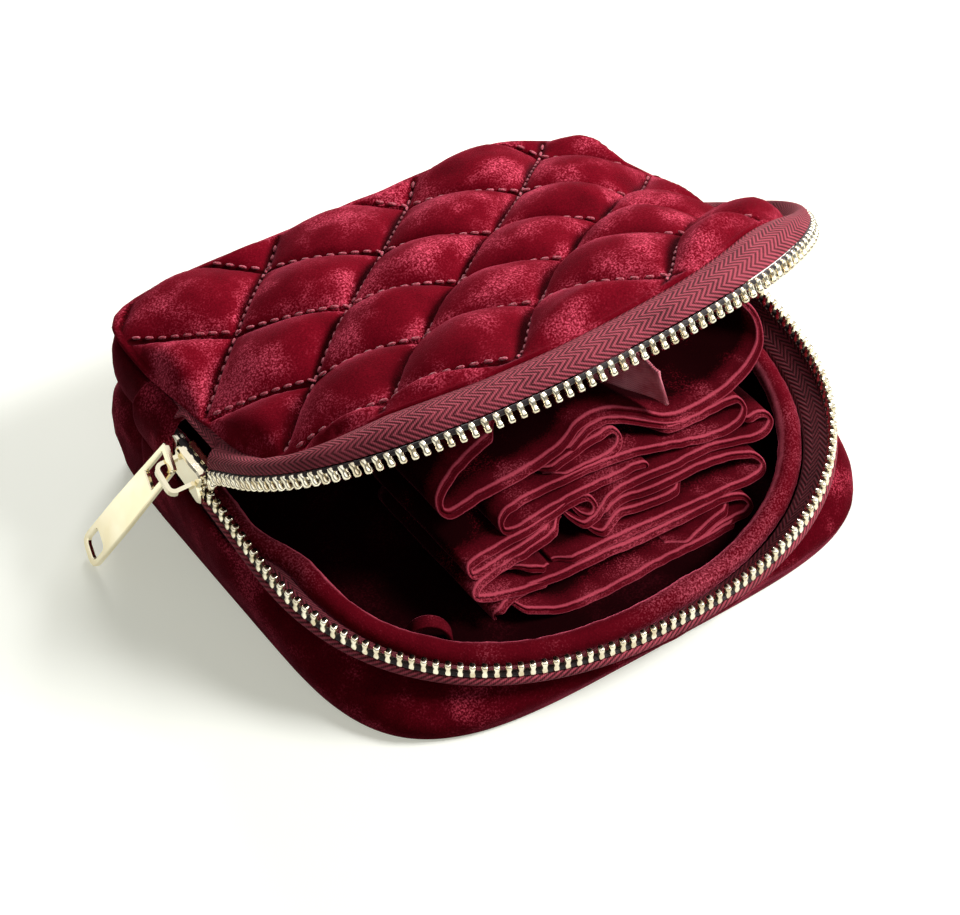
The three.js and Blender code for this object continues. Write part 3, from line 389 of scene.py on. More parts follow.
class Nodes:
    """A small builder for a node tree. A feed is a number, a colour or another node's output."""

    def __init__(self, tree):
        self.tree = tree

    def feed(self, socket, value):
        if isinstance(value, bpy.types.NodeSocket):
            self.tree.links.new(value, socket)
        else:
            socket.default_value = value

    def node(self, kind, feeds=None, **settings):
        made = self.tree.nodes.new("ShaderNode" + kind)
        for key, value in settings.items():
            setattr(made, key, value)
        for key, value in (feeds or {}).items():
            self.feed(made.inputs[key], value)
        return made

    def noise(self, size, detail=2, rough=0.5, stretch=None):
        where = self.node("TexCoord").outputs["Object"]
        if stretch is not None:
            where = self.node("Mapping", {"Vector": where, "Scale": stretch}).outputs["Vector"]
        feeds = {"Vector": where, "Scale": 1000 / size, "Detail": detail, "Roughness": rough}
        return self.node("TexNoise", feeds).outputs["Fac"]

    def cut(self):
        """Cut coordinates in millimetres: first along the cloth, then across it."""
        return self.node("SeparateXYZ", {0: self.node("UVMap", uv_map="cut").outputs["UV"]}).outputs

    def math(self, operation, *values):
        return self.node("Math", dict(enumerate(values)), operation=operation).outputs[0]

    def times(self, value, factor, more=0.0):
        """The value times a factor, plus more."""
        return self.math("MULTIPLY_ADD", value, factor, more)

    def wave(self, value, length):
        return self.math("SINE", self.times(value, 2 * math.pi / length))

    def span(self, value, low, high, to_low=0.0):
        feeds = {"Value": value, "From Min": low, "From Max": high, "To Min": to_low}
        return self.node("MapRange", feeds, interpolation_type="SMOOTHSTEP").outputs[0]

    def scaled(self, value, low, high):
        return self.node("MapRange", {"Value": value, "To Min": low, "To Max": high}).outputs[0]


class Shader(Nodes):
    """A node material with a Principled shader."""

    def __init__(self, name):
        self.material = bpy.data.materials.new(name)
        self.material.use_nodes = True
        super().__init__(self.material.node_tree)
        self.main = self.tree.nodes["Principled BSDF"]

    def set(self, **values):
        for key, value in values.items():
            self.feed(self.main.inputs[key.replace("_", " ")], value)

    def paint(self, fac, *stops):
        """Colours the surface by a ramp over the given output."""
        made = self.node("ValToRGB", {"Fac": fac})
        elements = made.color_ramp.elements
        while len(elements) < len(stops):
            elements.new(0.5)
        for element, (position, color) in zip(elements, stops):
            element.position = position
            element.color = (*color, 1)
        self.set(Base_Color=made.outputs["Color"])

    def bump(self, height, strength, distance):
        feeds = {"Height": height, "Strength": strength, "Distance": distance * MM}
        self.set(Normal=self.node("Bump", feeds).outputs["Normal"])


VELVET_SHEEN = (1.0, 0.16, 0.26, 1)
TAPE_SHEEN = (1.0, 0.4, 0.45, 1)
# Colour band changes: a painted highlight along edges, darker pressed pile with painted shade along seams,
# painted shade deeper into folds.
PAINTED_EDGE_HIGHLIGHT, PRESSED_AND_SHADED_SEAM, PAINTED_FOLD_SHADE = 0.42, -0.35, -0.38


def velvet(name, dark, middle, bright, patch=14, grain=0.5, sheen=0.35, fleck=0.42, bands=()):
    """Crushed pile: smooth colour with fine bright flecks where the pile stands up, painted highlights
    scattered at random. Each band is (from, to, change): a change of colour by distance: a painted highlight
    along an edge, darker pressed pile with painted shade along a seam, painted shade deeper into a fold."""
    s = Shader(name)
    broad, fine, hair = s.noise(patch), s.noise(grain, 3, 0.6), s.noise(grain * 0.5, 2, 0.6)
    # lit: bright flecks scattered at random, painted highlights where the pile catches light
    lit = s.times(s.span(broad, 0.46, 0.68), s.span(fine, 0.45, 0.68))
    level = s.times(broad, 0.5, 0.03)
    level = s.times(fine, 0.42, level)
    level = s.times(lit, fleck, level)
    for start, end, change in bands:
        level = s.times(s.span(s.cut()[1], start, end), change, level)
    s.paint(level, (0.22, dark), (0.5, middle), (0.95, bright))
    s.set(Roughness=0.9, Specular_IOR_Level=0.02)
    s.set(Sheen_Weight=sheen, Sheen_Roughness=0.28, Sheen_Tint=VELVET_SHEEN)
    s.bump(s.times(hair, 0.6, s.times(fine, 0.7)), 0.5, 0.25)
    return s.material


def herringbone(name, dark, bright, column=3.9, stripe=1.15):
    """Woven tape: chevrons in columns along the tape."""
    s = Shader(name)
    along, across = s.cut()[:2]
    fold = s.math("PINGPONG", across, column / 2)
    slant = s.times(fold, 1.05, s.times(along, 0.62))
    wave = s.wave(slant, stripe)
    weft = s.wave(along, 0.5)
    level = s.times(wave, 0.3, s.times(weft, 0.07, 0.13))
    level = s.times(s.noise(9, 3), 0.4, s.times(s.noise(0.7), 0.3, level))
    s.paint(level, (0.15, dark), (0.85, bright))
    s.set(Roughness=0.75, Specular_IOR_Level=0.2)
    s.set(Sheen_Weight=0.1, Sheen_Roughness=0.3, Sheen_Tint=TAPE_SHEEN)
    s.bump(s.times(weft, 0.3, wave), 0.7, 0.14)
    return s.material


def knit(name, dark, bright, size=0.8):
    """Fine ribbed jersey."""
    s = Shader(name)
    along, across = s.cut()[:2]
    weave = s.times(s.wave(along, size), s.wave(across, size * 0.8))
    s.paint(s.times(weave, 0.2, s.noise(5, 3)), (0.25, dark), (0.75, bright))
    s.set(Roughness=0.85, Specular_IOR_Level=0.1)
    s.set(Sheen_Weight=0.15, Sheen_Roughness=0.3, Sheen_Tint=TAPE_SHEEN)
    s.bump(weave, 0.6, 0.15)
    return s.material


def thread(name, color, speck):
    s = Shader(name)
    twist = s.noise(0.4, 1)
    s.paint(twist, (0.35, color), (0.7, speck))
    s.set(Roughness=0.6, Specular_IOR_Level=0.3, Sheen_Weight=0.3, Sheen_Roughness=0.4)
    s.bump(twist, 0.4, 0.05)
    return s.material


def metal(name, color, worn, rough_low, rough_high, size=3.0):
    s = Shader(name)
    scratch = s.noise(0.6, 3, stretch=(1, 1, 0.15))
    s.paint(s.noise(size), (0.35, worn), (0.62, color))
    s.set(Metallic=1.0, Roughness=s.scaled(scratch, rough_low, rough_high))
    s.bump(scratch, 0.05, 0.02)
    return s.material


def board(name, dark, bright):
    s = Shader(name)
    grain = s.noise(2.5, 4)
    s.paint(grain, (0.3, dark), (0.7, bright))
    s.set(Roughness=0.9)
    s.bump(grain, 0.3, 0.2)
    return s.material


# Lid velvet: darker along the quilt channels, pressed pile with painted shade.
lid_velvet = velvet(
    "lid_velvet", (0.035, 0.0003, 0.0015), (0.16, 0.002, 0.009), (0.68, 0.075, 0.13),
    bands=[(1.7, 0, PRESSED_AND_SHADED_SEAM)],
)
# A darker copy of the lid's velvet for the walls, back and end covers: painted shade.
shaded_wall_velvet = velvet(
    "shaded_wall_velvet", (0.016, 0.0002, 0.0008), (0.09, 0.001, 0.005), (0.5, 0.045, 0.08), sheen=0.3,
)
# Rim velvet: a painted highlight on the roll's inner top side, within 1.5 mm of it.
rim_velvet = velvet(
    "rim_velvet", (0.05, 0.0006, 0.003), (0.11, 0.002, 0.007), (0.62, 0.1, 0.15),
    patch=26, sheen=0.9, fleck=0.25, bands=[(1.5, 0, PAINTED_EDGE_HIGHLIGHT)],
)
# Strip velvet: painted highlights at the plies' rolled edges, painted shade deeper into the folds.
strip_velvet = velvet(
    "strip_velvet", (0.01, 0.0002, 0.0007), (0.1, 0.003, 0.008), (0.44, 0.058, 0.09),
    patch=12, grain=0.45, sheen=0.25, fleck=0.3, bands=[(0.9, 0, PAINTED_EDGE_HIGHLIGHT), (1.5, 9, PAINTED_FOLD_SHADE)],
)
inner_velvet = velvet(
    "inner_velvet", (0.004, 0.0001, 0.0004), (0.01, 0.0003, 0.001), (0.03, 0.002, 0.004), sheen=0.02,
)
lid_tape_cloth = herringbone("lid_tape_cloth", (0.04, 0.0008, 0.0035), (0.45, 0.07, 0.1))
# A darker copy of the tape cloth for the inner base tape: painted shade inside the case.
shaded_tape_cloth = herringbone("shaded_tape_cloth", (0.02, 0.0005, 0.002), (0.22, 0.03, 0.045))
flap_cloth = knit("flap_cloth", (0.55, 0.09, 0.13), (0.9, 0.32, 0.38))
seam_thread = thread("seam_thread", (0.22, 0.01, 0.02), (0.6, 0.12, 0.17))
bead_thread = thread("bead_thread", (0.003, 0.001, 0.0015), (0.02, 0.008, 0.009))
pale_thread = thread("pale_thread", (0.45, 0.35, 0.32), (0.9, 0.82, 0.75))
tooth_metal = metal("tooth_metal", (0.95, 0.89, 0.72), (0.68, 0.58, 0.4), 0.12, 0.28)
pull_metal = metal("pull_metal", (0.95, 0.87, 0.66), (0.9, 0.8, 0.56), 0.06, 0.14, 9.0)
board_face = board("board_face", (0.12, 0.1, 0.085), (0.2, 0.17, 0.145))

# Base walls


def wall_top(y):
    return -TAPE_FLARE * lean(y) + TAPE_HALF + TAPE_AIR + WALL_TOP_DEPTH


def wall_out(foot, top, share):
    """Outward place of the wall's face at a share of its height, with its swell."""
    return mix(foot, top, share ** 1.4) + 2 * np.sin(np.pi * share)


def base_wall():
    run = np.linspace(0, ZIP_LENGTH, 360)
    _, y, nx, ny = zip_at(run)
    z = zip_height(y)
    foot, top, high = foot_offset(run), wall_top(y), z - SEAM_DROP
    hem = [(0, -0.7), (0.25, -0.15), (0.9, 0.05), (1.6, -0.1), (1.8, -0.6)]
    points = [(foot - WALL, 0.4), (foot - 0.9, 0.45), (foot - 0.25, 1.1)]
    points += [(wall_out(foot, top, t), mix(WALL_LOW, high, t)) for t in np.linspace(0, 1, 15)[:-1]]
    points += [(top - depth, high + up) for depth, up in hem]
    points += [(wall_out(foot, top, t) - WALL, mix(WALL_LOW, high, t)) for t in (0.75, 0.5, 0.25)]
    points += [(foot - WALL, WALL_LOW)]
    rings = np.stack([beside(run, out, height - z) for out, height in points], axis=1)
    face = rings[:, 2:17]
    swell = np.sin(np.pi * np.clip((face[..., 2] - 1) / (high[:, None] - 1), 0, 1)) ** 0.7
    fold = rumple(face, 3, (0.75, 15), (0.35, 6), (0.12, 2.2))
    face += spots(nx, ny, 0)[:, None] * (fold * swell)[..., None]
    return shell("case_wall", rings, shaded_wall_velvet)


def back_at(count):
    """Even places round the back, with their outward directions."""
    start = COVERED_Y + 0.7
    low = math.asin(((start - FOOT_MIDDLE) / FOOT_DEPTH) ** (BACK_POWER / 2))
    x, y = oval(np.linspace(low, math.pi - low, 1200), HALF, FOOT_DEPTH, BACK_POWER)
    x, y = even_line(spots(x, FOOT_MIDDLE + y), count - 1).T
    u = np.sign(x) * np.abs(x / HALF) ** (BACK_POWER - 1) / HALF
    v = ((y - FOOT_MIDDLE) / FOOT_DEPTH) ** (BACK_POWER - 1) / FOOT_DEPTH * smooth((y - start) / 8)
    length = np.hypot(u, v)
    return x, y, u / length, v / length


def back_high(x, y, ny):
    """Height of the back wall's top, just under the pad."""
    reach = []
    for step in (-3, 0, 3, 5):
        under_y = np.minimum(y + step - 2.2 * ny, FOOT_BACK - BACK_INSET)
        reach.append(bend_panel(on_lid(spots(x * 0.955, under_y), -PAD_THICKNESS))[..., 2])
    return np.min(reach, axis=0) - 0.6


def back_fold(nx):
    """Depth of the fold that takes up the lid's swing: deeper at the sides."""
    return mix(1.6, 4.0, np.abs(nx))


def back_wall():
    x, y, nx, ny = back_at(260)
    fold, high, crease = back_fold(nx), back_high(x, y, ny), 31.0
    lower = [(0, 0), (0.2, 1.3), (0.4, 2), (0.6, 2.1), (0.78, 1.5)]
    upper = [(0.3, 0.5), (0.5, 0.7), (0.7, 0.5), (0.88, -0.2), (0.97, -1.0), (1.0, -1.6)]
    face = [(mix(WALL_LOW, crease, share), out) for share, out in lower]
    face += [(29.3, -fold * 0.35), (crease, -fold), (32.3, -fold * 0.45)]
    face += [(mix(crease, high, share), out) for share, out in upper]
    points = [(0.4, -WALL), (0.45, -0.9), (1.1, -0.25)] + face + [(z, out - WALL) for z, out in face[::-2]]
    height, out = (np.stack([level + 0 * x for level in column], axis=1) for column in zip(*points))
    rings = spots(x[:, None] + nx[:, None] * out, y[:, None] + ny[:, None] * out, height)
    at = rings[:, 2:3 + len(face)]
    ease = np.sin(np.pi * np.clip((at[..., 2] - 1) / (high[:, None] - 1), 0, 1)) ** 0.6
    wave = 0.8 * value_noise(at * [1, 1, 1.6], 13, 7) + rumple(at, 8, (0.4, 5), (0.12, 2))
    at += spots(nx, ny, 0)[:, None] * (wave * ease)[..., None]
    return shell("case_back", rings, shaded_wall_velvet)


def rim_roll():
    sides = 18
    run = np.linspace(0, ZIP_LENGTH, 420)
    _, y, nx, ny = zip_at(run)
    middle = beside(run, -TAPE_FLARE * lean(y) - TAPE_HALF - TAPE_AIR - RIM_RADIUS, -SEAM_DROP)[:, None]
    angle = 2 * np.pi * np.arange(sides) / sides
    ray = spots(nx[:, None] * np.cos(angle), ny[:, None] * np.cos(angle), np.sin(angle))
    creases = rumple(middle + RIM_RADIUS * ray, 11, (0.3, 9), (0.14, 2.5), (0.1, 1.0))
    close = np.sin(np.clip(np.minimum(run, ZIP_LENGTH - run) / 6, 0, 1) * np.pi / 2) ** 0.5
    radius = (RIM_RADIUS * 0.97 + creases) * np.maximum(close, 0.15)[:, None]
    rings = middle + ray * radius[..., None]
    # across: distance round the roll from its inner top side, where the velvet gets a painted highlight
    across = np.abs(angle - 0.78 * np.pi) * RIM_RADIUS
    return shell("opening_roll", rings, rim_velvet, ring_uv(rings, run, across))


# Tapes

CLOTH_HALF = 0.33


def tape(name, run, path, half, material, width=None):
    """A tape beside the zip line: path gives (out, height) for its middle, from edge to edge."""
    middle = np.stack([beside(run, out, height) for out, height in path], axis=1)
    _, _, nx, ny = zip_at(run)
    face = unit(np.cross(np.gradient(middle, axis=1), spots(-ny, nx, 0)[:, None]))
    return woven(name, run, middle, face, half, material, width)


def base_tape():
    run = np.linspace(0, ZIP_LENGTH, 420)
    low = -TAPE_FLARE * lean(zip_at(run)[1])
    path = [
        (0, 4.75), (0, 5.1), (0.12, 5.9), (0.3, 6.7), (0.52, 7.5), (0.76, 8.4), (0.95, 9.1), (1, 10), (1, 11),
    ]
    return tape("base_tape", run, [(low * share, -drop) for share, drop in path], CLOTH_HALF, shaded_tape_cloth)


def tape_lip():
    """Folded outer edge of the base tape, under the bead."""
    run = np.linspace(ROW_START, BASE_ROW_END + 4, 400)
    path = [(0.75, -4.9), (1.25, -5.5), (1.35, -6.2), (0.9, -6.9)]
    return tape("base_tape_lip", run, path, 0.3, lid_tape_cloth, np.array([0, 0.8, 1.5, 2.3]))


def lid_tape():
    """From the lid's row to the pad's edge: it dives at its ends and stays clear of the slider."""
    run = np.linspace(0, ZIP_LENGTH, 460)
    x, y, _, _ = zip_at(run)
    end = 1 - smooth(np.minimum(run, ZIP_LENGTH - run) / 11)
    left_front = np.where((x < 0) & (y > -30), np.clip((30 - y) / 60, 0, 1), 0)
    pad_line = mix(SIDE_INSET, FRONT_INSET, left_front)
    inset = np.maximum(panel_inset(x, y) - 0.4, pad_line + 0.2 * (x < 0)) + 1.6 * end
    edge = beside(run, -inset, 0.0)
    high = lid_surface(edge[:, 0], edge[:, 1]) - 1.3 - end - zip_height(y)
    dive = smooth((y - 25) / 12)
    clear = (x < 0) * smooth((y - 7) / 4) * (1 - smooth((y - 25) / 4))
    foot_in, foot_up = 2 * dive + 3.7 * clear, 5.15 - 8 * dive + 3.2 * clear
    shares = np.array([0, 0.03, 0.08, 0.14, 0.24, 0.34, 0.45, 0.56, 0.68, 0.8, 0.92, 1.0])
    middle = np.stack([
        beside(run, -np.maximum(inset * t ** 1.5, foot_in * (1 - t) ** 0.5), mix(foot_up, high, t))
        for t in shares
    ], axis=1)
    turn = np.clip((shares - 0.12) / 0.88, 0, 1) ** 1.5
    middle = raised(middle, mix(row_share(middle), panel_share(middle), turn))
    return woven("lid_tape", run, middle, face_of(middle), CLOTH_HALF, lid_tape_cloth)


# Teeth

ROW_START = left_run(ZIP_START_Y)
BASE_ROW_END = ZIP_LENGTH - left_run(ZIP_END_Y)
LID_ROW_START = ROW_START + PITCH / 2
END_TEETH = math.ceil((left_run(HINGE_Y - 9) - ROW_START) / PITCH)
LID_ROW_SPLIT = LID_ROW_START + END_TEETH * PITCH
ROW_SLIT = 0.3

# A tooth's levels above the slit's middle, each with its half length and half thickness, and its corners
TOOTH_LEVELS = np.array([
    (1.1, 0.52, 0.6), (1.22, 0.7, 0.9), (1.6, 0.8, 1.05), (2.1, 0.78, 1.1), (2.6, 0.66, 1.06),
    (3.05, 0.66, 1.08), (3.5, 0.8, 1.15), (4.0, 0.86, 1.18), (4.5, 0.82, 1.1), (4.75, 0.62, 0.85),
])
TOOTH_CORNERS = np.array([
    (1, 0.55), (0.6, 1), (-0.6, 1), (-1, 0.55), (-1, -0.55), (-0.6, -1), (0.6, -1), (1, -0.55),
])


def tooth_row(name, start, count, side, share=no_share):
    """Teeth on one side of the slit; share says how far they turn up with the lid."""
    height, length, thick = TOOTH_LEVELS.T[..., None]
    along, out = TOOTH_CORNERS.T[:, None]
    run = (start + PITCH * (np.arange(count) + 0.5))[:, None, None] + along * length
    verts = beside(run, out * thick, side * height).reshape(-1, 3)
    verts = raised(verts, share(verts))
    return piece(name, verts, tube_faces(len(TOOTH_LEVELS), len(TOOTH_CORNERS), count), tooth_metal)


def bead(name, start, end, side, share=no_share):
    """The cord under the teeth, with a slight twist."""
    run = np.linspace(start, end, int((end - start) / 0.7))
    angle = 2 * np.pi * np.arange(10) / 10
    twist = 1 + 0.05 * np.sin(2 * np.pi * run / 1.4)[:, None]
    out = 0.92 * np.cos(angle) * twist
    height = side * (4.15 + 0.66 * np.sin(angle) * twist)
    rings = beside(run[:, None], out, height)
    return shell(name, raised(rings, share(rings)), bead_thread)


def bead_stitches():
    run = np.arange(ROW_START, BASE_ROW_END, 1.05)
    before, after = (beside(run + step, -0.95, -4.6) for step in (-0.1, 0.1))
    along = unit(after - before)
    up = unit(np.array([0, 0, 1]) - along * along[:, 2:])
    middle = (before + after) / 2
    return capsules("base_bead_stitches", middle, along, up, 0.62, 0.15, pale_thread, sides=5)


# Quilted lid

PAD_OUTLINE = lid_outline(0)
QUILT_CELL = QUILT_A[0] * QUILT_B[1] - QUILT_A[1] * QUILT_B[0]
LENGTH_A, LENGTH_B = np.linalg.norm(QUILT_A), np.linalg.norm(QUILT_B)
PUFF_HEIGHT, CHANNEL_SINK, CHANNEL_REACH, EDGE_ROLL = 7.7, 1.5, 1.7, 6.5
STITCH_PITCH, STITCH_LENGTH, STITCH_RADIUS, STITCH_LIFT = 3.3, 2.1, 0.4, 0.55


def pad_walls():
    """The edges of the pad's outline: the two ends and the outward direction of each."""
    for p, q in zip(PAD_OUTLINE, np.roll(PAD_OUTLINE, -1, axis=0)):
        out = unit(np.array([q[1] - p[1], p[0] - q[0]]))
        yield p, q, out * np.sign(out @ p)


def inside_pad(plan, beyond=0.0):
    """Which places lie inside every edge's line, or past it by no more than beyond."""
    return np.all([(plan - p) @ out <= beyond for p, _, out in pad_walls()], axis=0)


def lattice(x, y):
    """Quilt coordinates: the channels run where either is a whole number."""
    dx, dy = x - QUILT_ORIGIN[0], y - QUILT_ORIGIN[1]
    return (dx * QUILT_B[1] - dy * QUILT_B[0]) / QUILT_CELL, (QUILT_A[0] * dy - QUILT_A[1] * dx) / QUILT_CELL


def channel_gaps(a, b):
    """Distances to the nearest channel of each direction."""
    return np.abs(a - np.round(a)) * QUILT_CELL / LENGTH_B, np.abs(b - np.round(b)) * QUILT_CELL / LENGTH_A


def edge_distance(plan):
    """Distance of each place from the pad's outline."""
    best = np.full(len(plan), 1e9)
    for p, q, _ in pad_walls():
        d = q - p
        t = np.clip((plan - p) @ d / (d @ d), 0, 1)
        best = np.minimum(best, np.linalg.norm(plan - p - t[:, None] * d, axis=1))
    return best


def puff_height(plan):
    """Puffs over the lid's surface: sunk and puckered along the channels, round at the pad's edge."""
    a, b = lattice(*plan.T)
    near_a, near_b = channel_gaps(a, b)
    near = np.minimum(near_a, near_b)
    pillow = (np.abs(np.sin(np.pi * a)) * np.abs(np.sin(np.pi * b))) ** 0.54
    pillow *= mix(0.35, 1.0, smooth(near / CHANNEL_REACH))
    edge = np.clip(edge_distance(plan) / EDGE_ROLL, 0, 1)
    at = spots(*plan.T, 0)
    pucker = 0
    for seed, across, share, length in ((24, near_a, b, LENGTH_B), (25, near_b, a, LENGTH_A)):
        stitches = np.sin(2 * np.pi * share * length / STITCH_PITCH + 2 * value_noise(at, 6, seed))
        pucker = pucker + 0.3 * stitches * np.exp(-((across - 1.6) / 1.3) ** 2)
    soft = rumple(at, 21, (0.6, 13), (0.2, 5))
    hug = 0.4 * np.exp(-near / 0.6)
    roll = np.sqrt(edge * (2 - edge))
    return ((PUFF_HEIGHT + soft + pucker) * pillow - hug) * roll - CHANNEL_SINK * edge


def pad_plan():
    """The quilt's grid cut to the pad's outline: its places, its faces and the loop of places round it."""
    within = np.arange(22) / 22
    within = mix(0.5 - 0.5 * np.cos(np.pi * within), within, 0.25)
    lines = []
    for share in lattice(*PAD_OUTLINE.T):
        low, high = math.floor(share.min()), math.ceil(share.max())
        lines.append(np.concatenate([k + within for k in range(low, high)] + [[high]]))
    a, b = np.meshgrid(*lines, indexing="ij")
    plan = (QUILT_ORIGIN + a[..., None] * QUILT_A + b[..., None] * QUILT_B).reshape(-1, 2)
    keep = inside_pad(plan) | (edge_distance(plan) < 2.5)
    work = bmesh.new()
    made = [work.verts.new((*place, 0)) for place in plan]
    for face in grid_faces(*map(len, lines)):
        if keep[face].any():
            work.faces.new([made[k] for k in face])
    for v in [v for v in work.verts if not v.link_faces]:
        work.verts.remove(v)
    for p, q, out in pad_walls():
        near = [
            f for f in work.faces
            if any((v.co.x - p[0]) * out[0] + (v.co.y - p[1]) * out[1] > 0 for v in f.verts)
        ]
        parts = set(near)
        for f in near:
            parts.update(f.verts, f.edges)
        if parts:
            bmesh.ops.bisect_plane(
                work, geom=list(parts), dist=1e-5, plane_co=(*(p + q) / 2, 0), plane_no=(*out, 0),
                clear_outer=True,
            )
    bmesh.ops.remove_doubles(work, verts=work.verts, dist=0.02)
    work.verts.index_update()
    plan = np.array([v.co[:2] for v in work.verts])
    faces = [[v.index for v in f.verts] for f in work.faces]
    chain = {}
    for e in work.edges:
        if len(e.link_faces) == 1:
            corners = [v.index for v in e.link_faces[0].verts]
            i, j = e.verts[0].index, e.verts[1].index
            if corners[(corners.index(i) + 1) % len(corners)] != j:
                i, j = j, i
            chain[i] = j
    work.free()
    loop = [next(iter(chain))]
    while chain[loop[-1]] != loop[0] and len(loop) <= len(chain):
        loop.append(chain[loop[-1]])
    return plan, faces, np.array(loop)


def quilted_lid():
    plan, faces, loop = pad_plan()
    here = plan[loop]
    step = np.roll(here, -1, axis=0) - np.roll(here, 1, axis=0)
    out = spots(step[:, 1], -step[:, 0])
    out /= np.maximum(np.linalg.norm(out, axis=1, keepdims=True), 1e-9)
    out *= np.sign(np.mean(np.sum(out * here, axis=1)))
    bulge = out * (1 + 0.25 * value_noise(spots(*here.T, 0), 9, 27))[:, None]
    rings = [
        spots(*(here + bulge * push).T, lid_surface(*here.T) - drop)
        for push, drop in [(1.3, 0.35), (1.8, 0.95), (1.3, 1.7)]
    ]
    around, base = len(loop), len(plan) + len(rings) * len(loop)
    rows = [loop] + [len(plan) + k * around + np.arange(around) for k in range(len(rings))] + [base + loop]
    sides = [
        np.stack([upper, lower, np.roll(lower, -1), np.roll(upper, -1)], axis=-1).tolist()
        for upper, lower in zip(rows, rows[1:])
    ]
    faces = faces + sum(sides, []) + [[base + k for k in reversed(face)] for face in faces]
    verts = np.concatenate([on_lid(plan, puff_height(plan)), *rings, on_lid(plan, -PAD_THICKNESS)])
    # cut: distance to the nearest channel, along which the velvet is darker, pressed pile with painted shade
    cut = np.concatenate([np.minimum(*channel_gaps(*lattice(*plan.T))), np.full(base, 3.0)])
    return piece("quilted_lid", bend_panel(verts), faces, lid_velvet, spots(0, cut))


def quilt_stitches():
    """Stitches along every channel that lies on the lid."""
    found = []
    for direction, other, beyond in ((QUILT_A, QUILT_B, 1.0), (QUILT_B, QUILT_A, 0.0)):
        length, side = np.linalg.norm(direction), unit(other)
        t = np.arange(-8, 9, STITCH_PITCH / length)
        for k in range(-8, 9):
            lines = np.array([
                QUILT_ORIGIN + (t + shift / length)[:, None] * direction + k * other + beyond * side
                for shift in (-0.15, 0, 0.15)
            ])
            plan = lines[1]
            lines = lines[:, inside_pad(plan, 1.0) & (edge_distance(plan) > 1.5)]
            before, middle, after = (
                bend_panel(on_lid(line, puff_height(line) + STITCH_LIFT)) for line in lines
            )
            across = bend_panel(on_lid(lines[1] + side * 0.3)) - bend_panel(on_lid(lines[1]))
            along = unit(after - before)
            up = unit(np.cross(along, across))
            found.append((middle, along, up * np.sign(up[:, 2:])))
    places = (np.concatenate(parts) for parts in zip(*found))
    return capsules("quilt_stitches", *places, STITCH_LENGTH, STITCH_RADIUS, seam_thread)


def lid_lining():
    edge = lid_outline(3)
    draws = np.linspace(0.04, 1, 26) ** 0.9
    rings = []
    for face, order in ((0, draws), (1, draws[::-1])):
        for draw in order:
            plan = mix(np.array([0.0, -2.0]), edge, draw)
            sag = 0.6 * (1 + value_noise(spots(*plan.T, 0), 14, 31)) * (1 - draw ** 4)
            rings.append(bend_panel(on_lid(plan, -PAD_THICKNESS - 0.9 - face * (0.9 + sag))))
    return shell("lid_inner_lining", np.stack(rings), inner_velvet)


# Inside of the base

LINING_FLOOR, LINING_AIR = 4.1, 0.6


def lining_tub():
    run = np.linspace(0, ZIP_LENGTH, 200)
    x, y, nx, ny = zip_at(run)
    foot, top, wall_high = foot_offset(run), wall_top(y), zip_height(y) - SEAM_DROP
    high = wall_high - RIM_RADIUS - 0.3
    back_x, back_y, back_nx, back_ny = back_at(120)
    back_top = mix(high[0], back_high(back_x, back_y, back_ny) - 3, smooth((back_y - COVERED_Y - 1.7) / 10))
    x, y, nx, ny, highs = (
        np.concatenate(parts)
        for parts in ((x, back_x), (y, back_y), (nx, back_nx), (ny, back_ny), (high, back_top))
    )

    def offsets(t):
        share = np.clip((mix(LINING_FLOOR, high, t) - WALL_LOW) / (wall_high - WALL_LOW), 0, 1)
        return np.concatenate([wall_out(foot, top, share), -back_fold(back_nx) * np.clip(t / 0.3, 0, 1)])

    def loop(t, deep, lift):
        steps = (-0.24, -0.12, 0, 0.12, 0.24)
        out = np.min([offsets(np.clip(t + step, 0, 1)) for step in steps], axis=0) - WALL - LINING_AIR - deep
        height = np.maximum(mix(LINING_FLOOR, highs, t), lift)
        p = spots(x + nx * out, y + ny * out, height)
        if deep:
            ripple = 0.5 * value_noise(p, 12, 41) * math.sin(math.pi * min(1, t + 0.05))
            p -= spots(nx, ny, 0) * np.abs(ripple)[:, None]
        return p

    levels = np.linspace(0, 1, 10)
    rings = [loop(t, 0, 0) for t in levels] + [loop(1, 0.5, 0)]
    rings += [loop(t, 1.0, LINING_FLOOR + 1.0) for t in levels[::-1]]
    rim = rings[-1][:, :2]
    for draw in (0.92, 0.8, 0.65, 0.5, 0.35, 0.2, 0.08):
        plan = mix(rim.mean(axis=0), rim, draw)
        height = LINING_FLOOR + 1.12 + 0.12 * value_noise(spots(*plan.T, 0), 10, 43)
        rings.append(spots(*plan.T, height))
    return shell("case_lining", np.stack(rings), inner_velvet)


def end_cover(name, side):
    """Gusset velvet over the tape ends, from the seam up under the quilted edge."""
    start, swell = (24.6, 0.9) if side < 0 else (28.0, 0.2)
    y = np.linspace(start, COVERED_Y + 1.6, 40)
    wide = side * (HALF - SIDE_INSET)
    high = bend_panel(spots(wide + side * 1.2, y, lid_surface(wide, y) - 1.5))
    low = spots(side * (HALF + 2.5), y, zip_height(y) - SEAM_DROP + 0.2)
    t, y = np.linspace(0, 1, 26), y[:, None]
    bulge = np.sin(np.pi * t)
    outside = mix(low[:, None], high[:, None], t[:, None])
    tuck = 0.9 * np.exp(-((y - start) / 2.2) ** 2)
    fold = 0.5 * np.exp(-((y - 33 + 6 * t) / 1.6) ** 2)
    lumps = rumple(outside, 51, (0.35, 7), (0.15, 3))
    outside[..., 0] = side * (HALF + mix(2.4, -2.7, t ** 6) + (swell - tuck + fold + lumps) * bulge)
    inside = outside - [side * 0.6, 0, 0]
    return shell(name, np.concatenate([outside, inside[:, ::-1]], axis=1), shaded_wall_velvet)


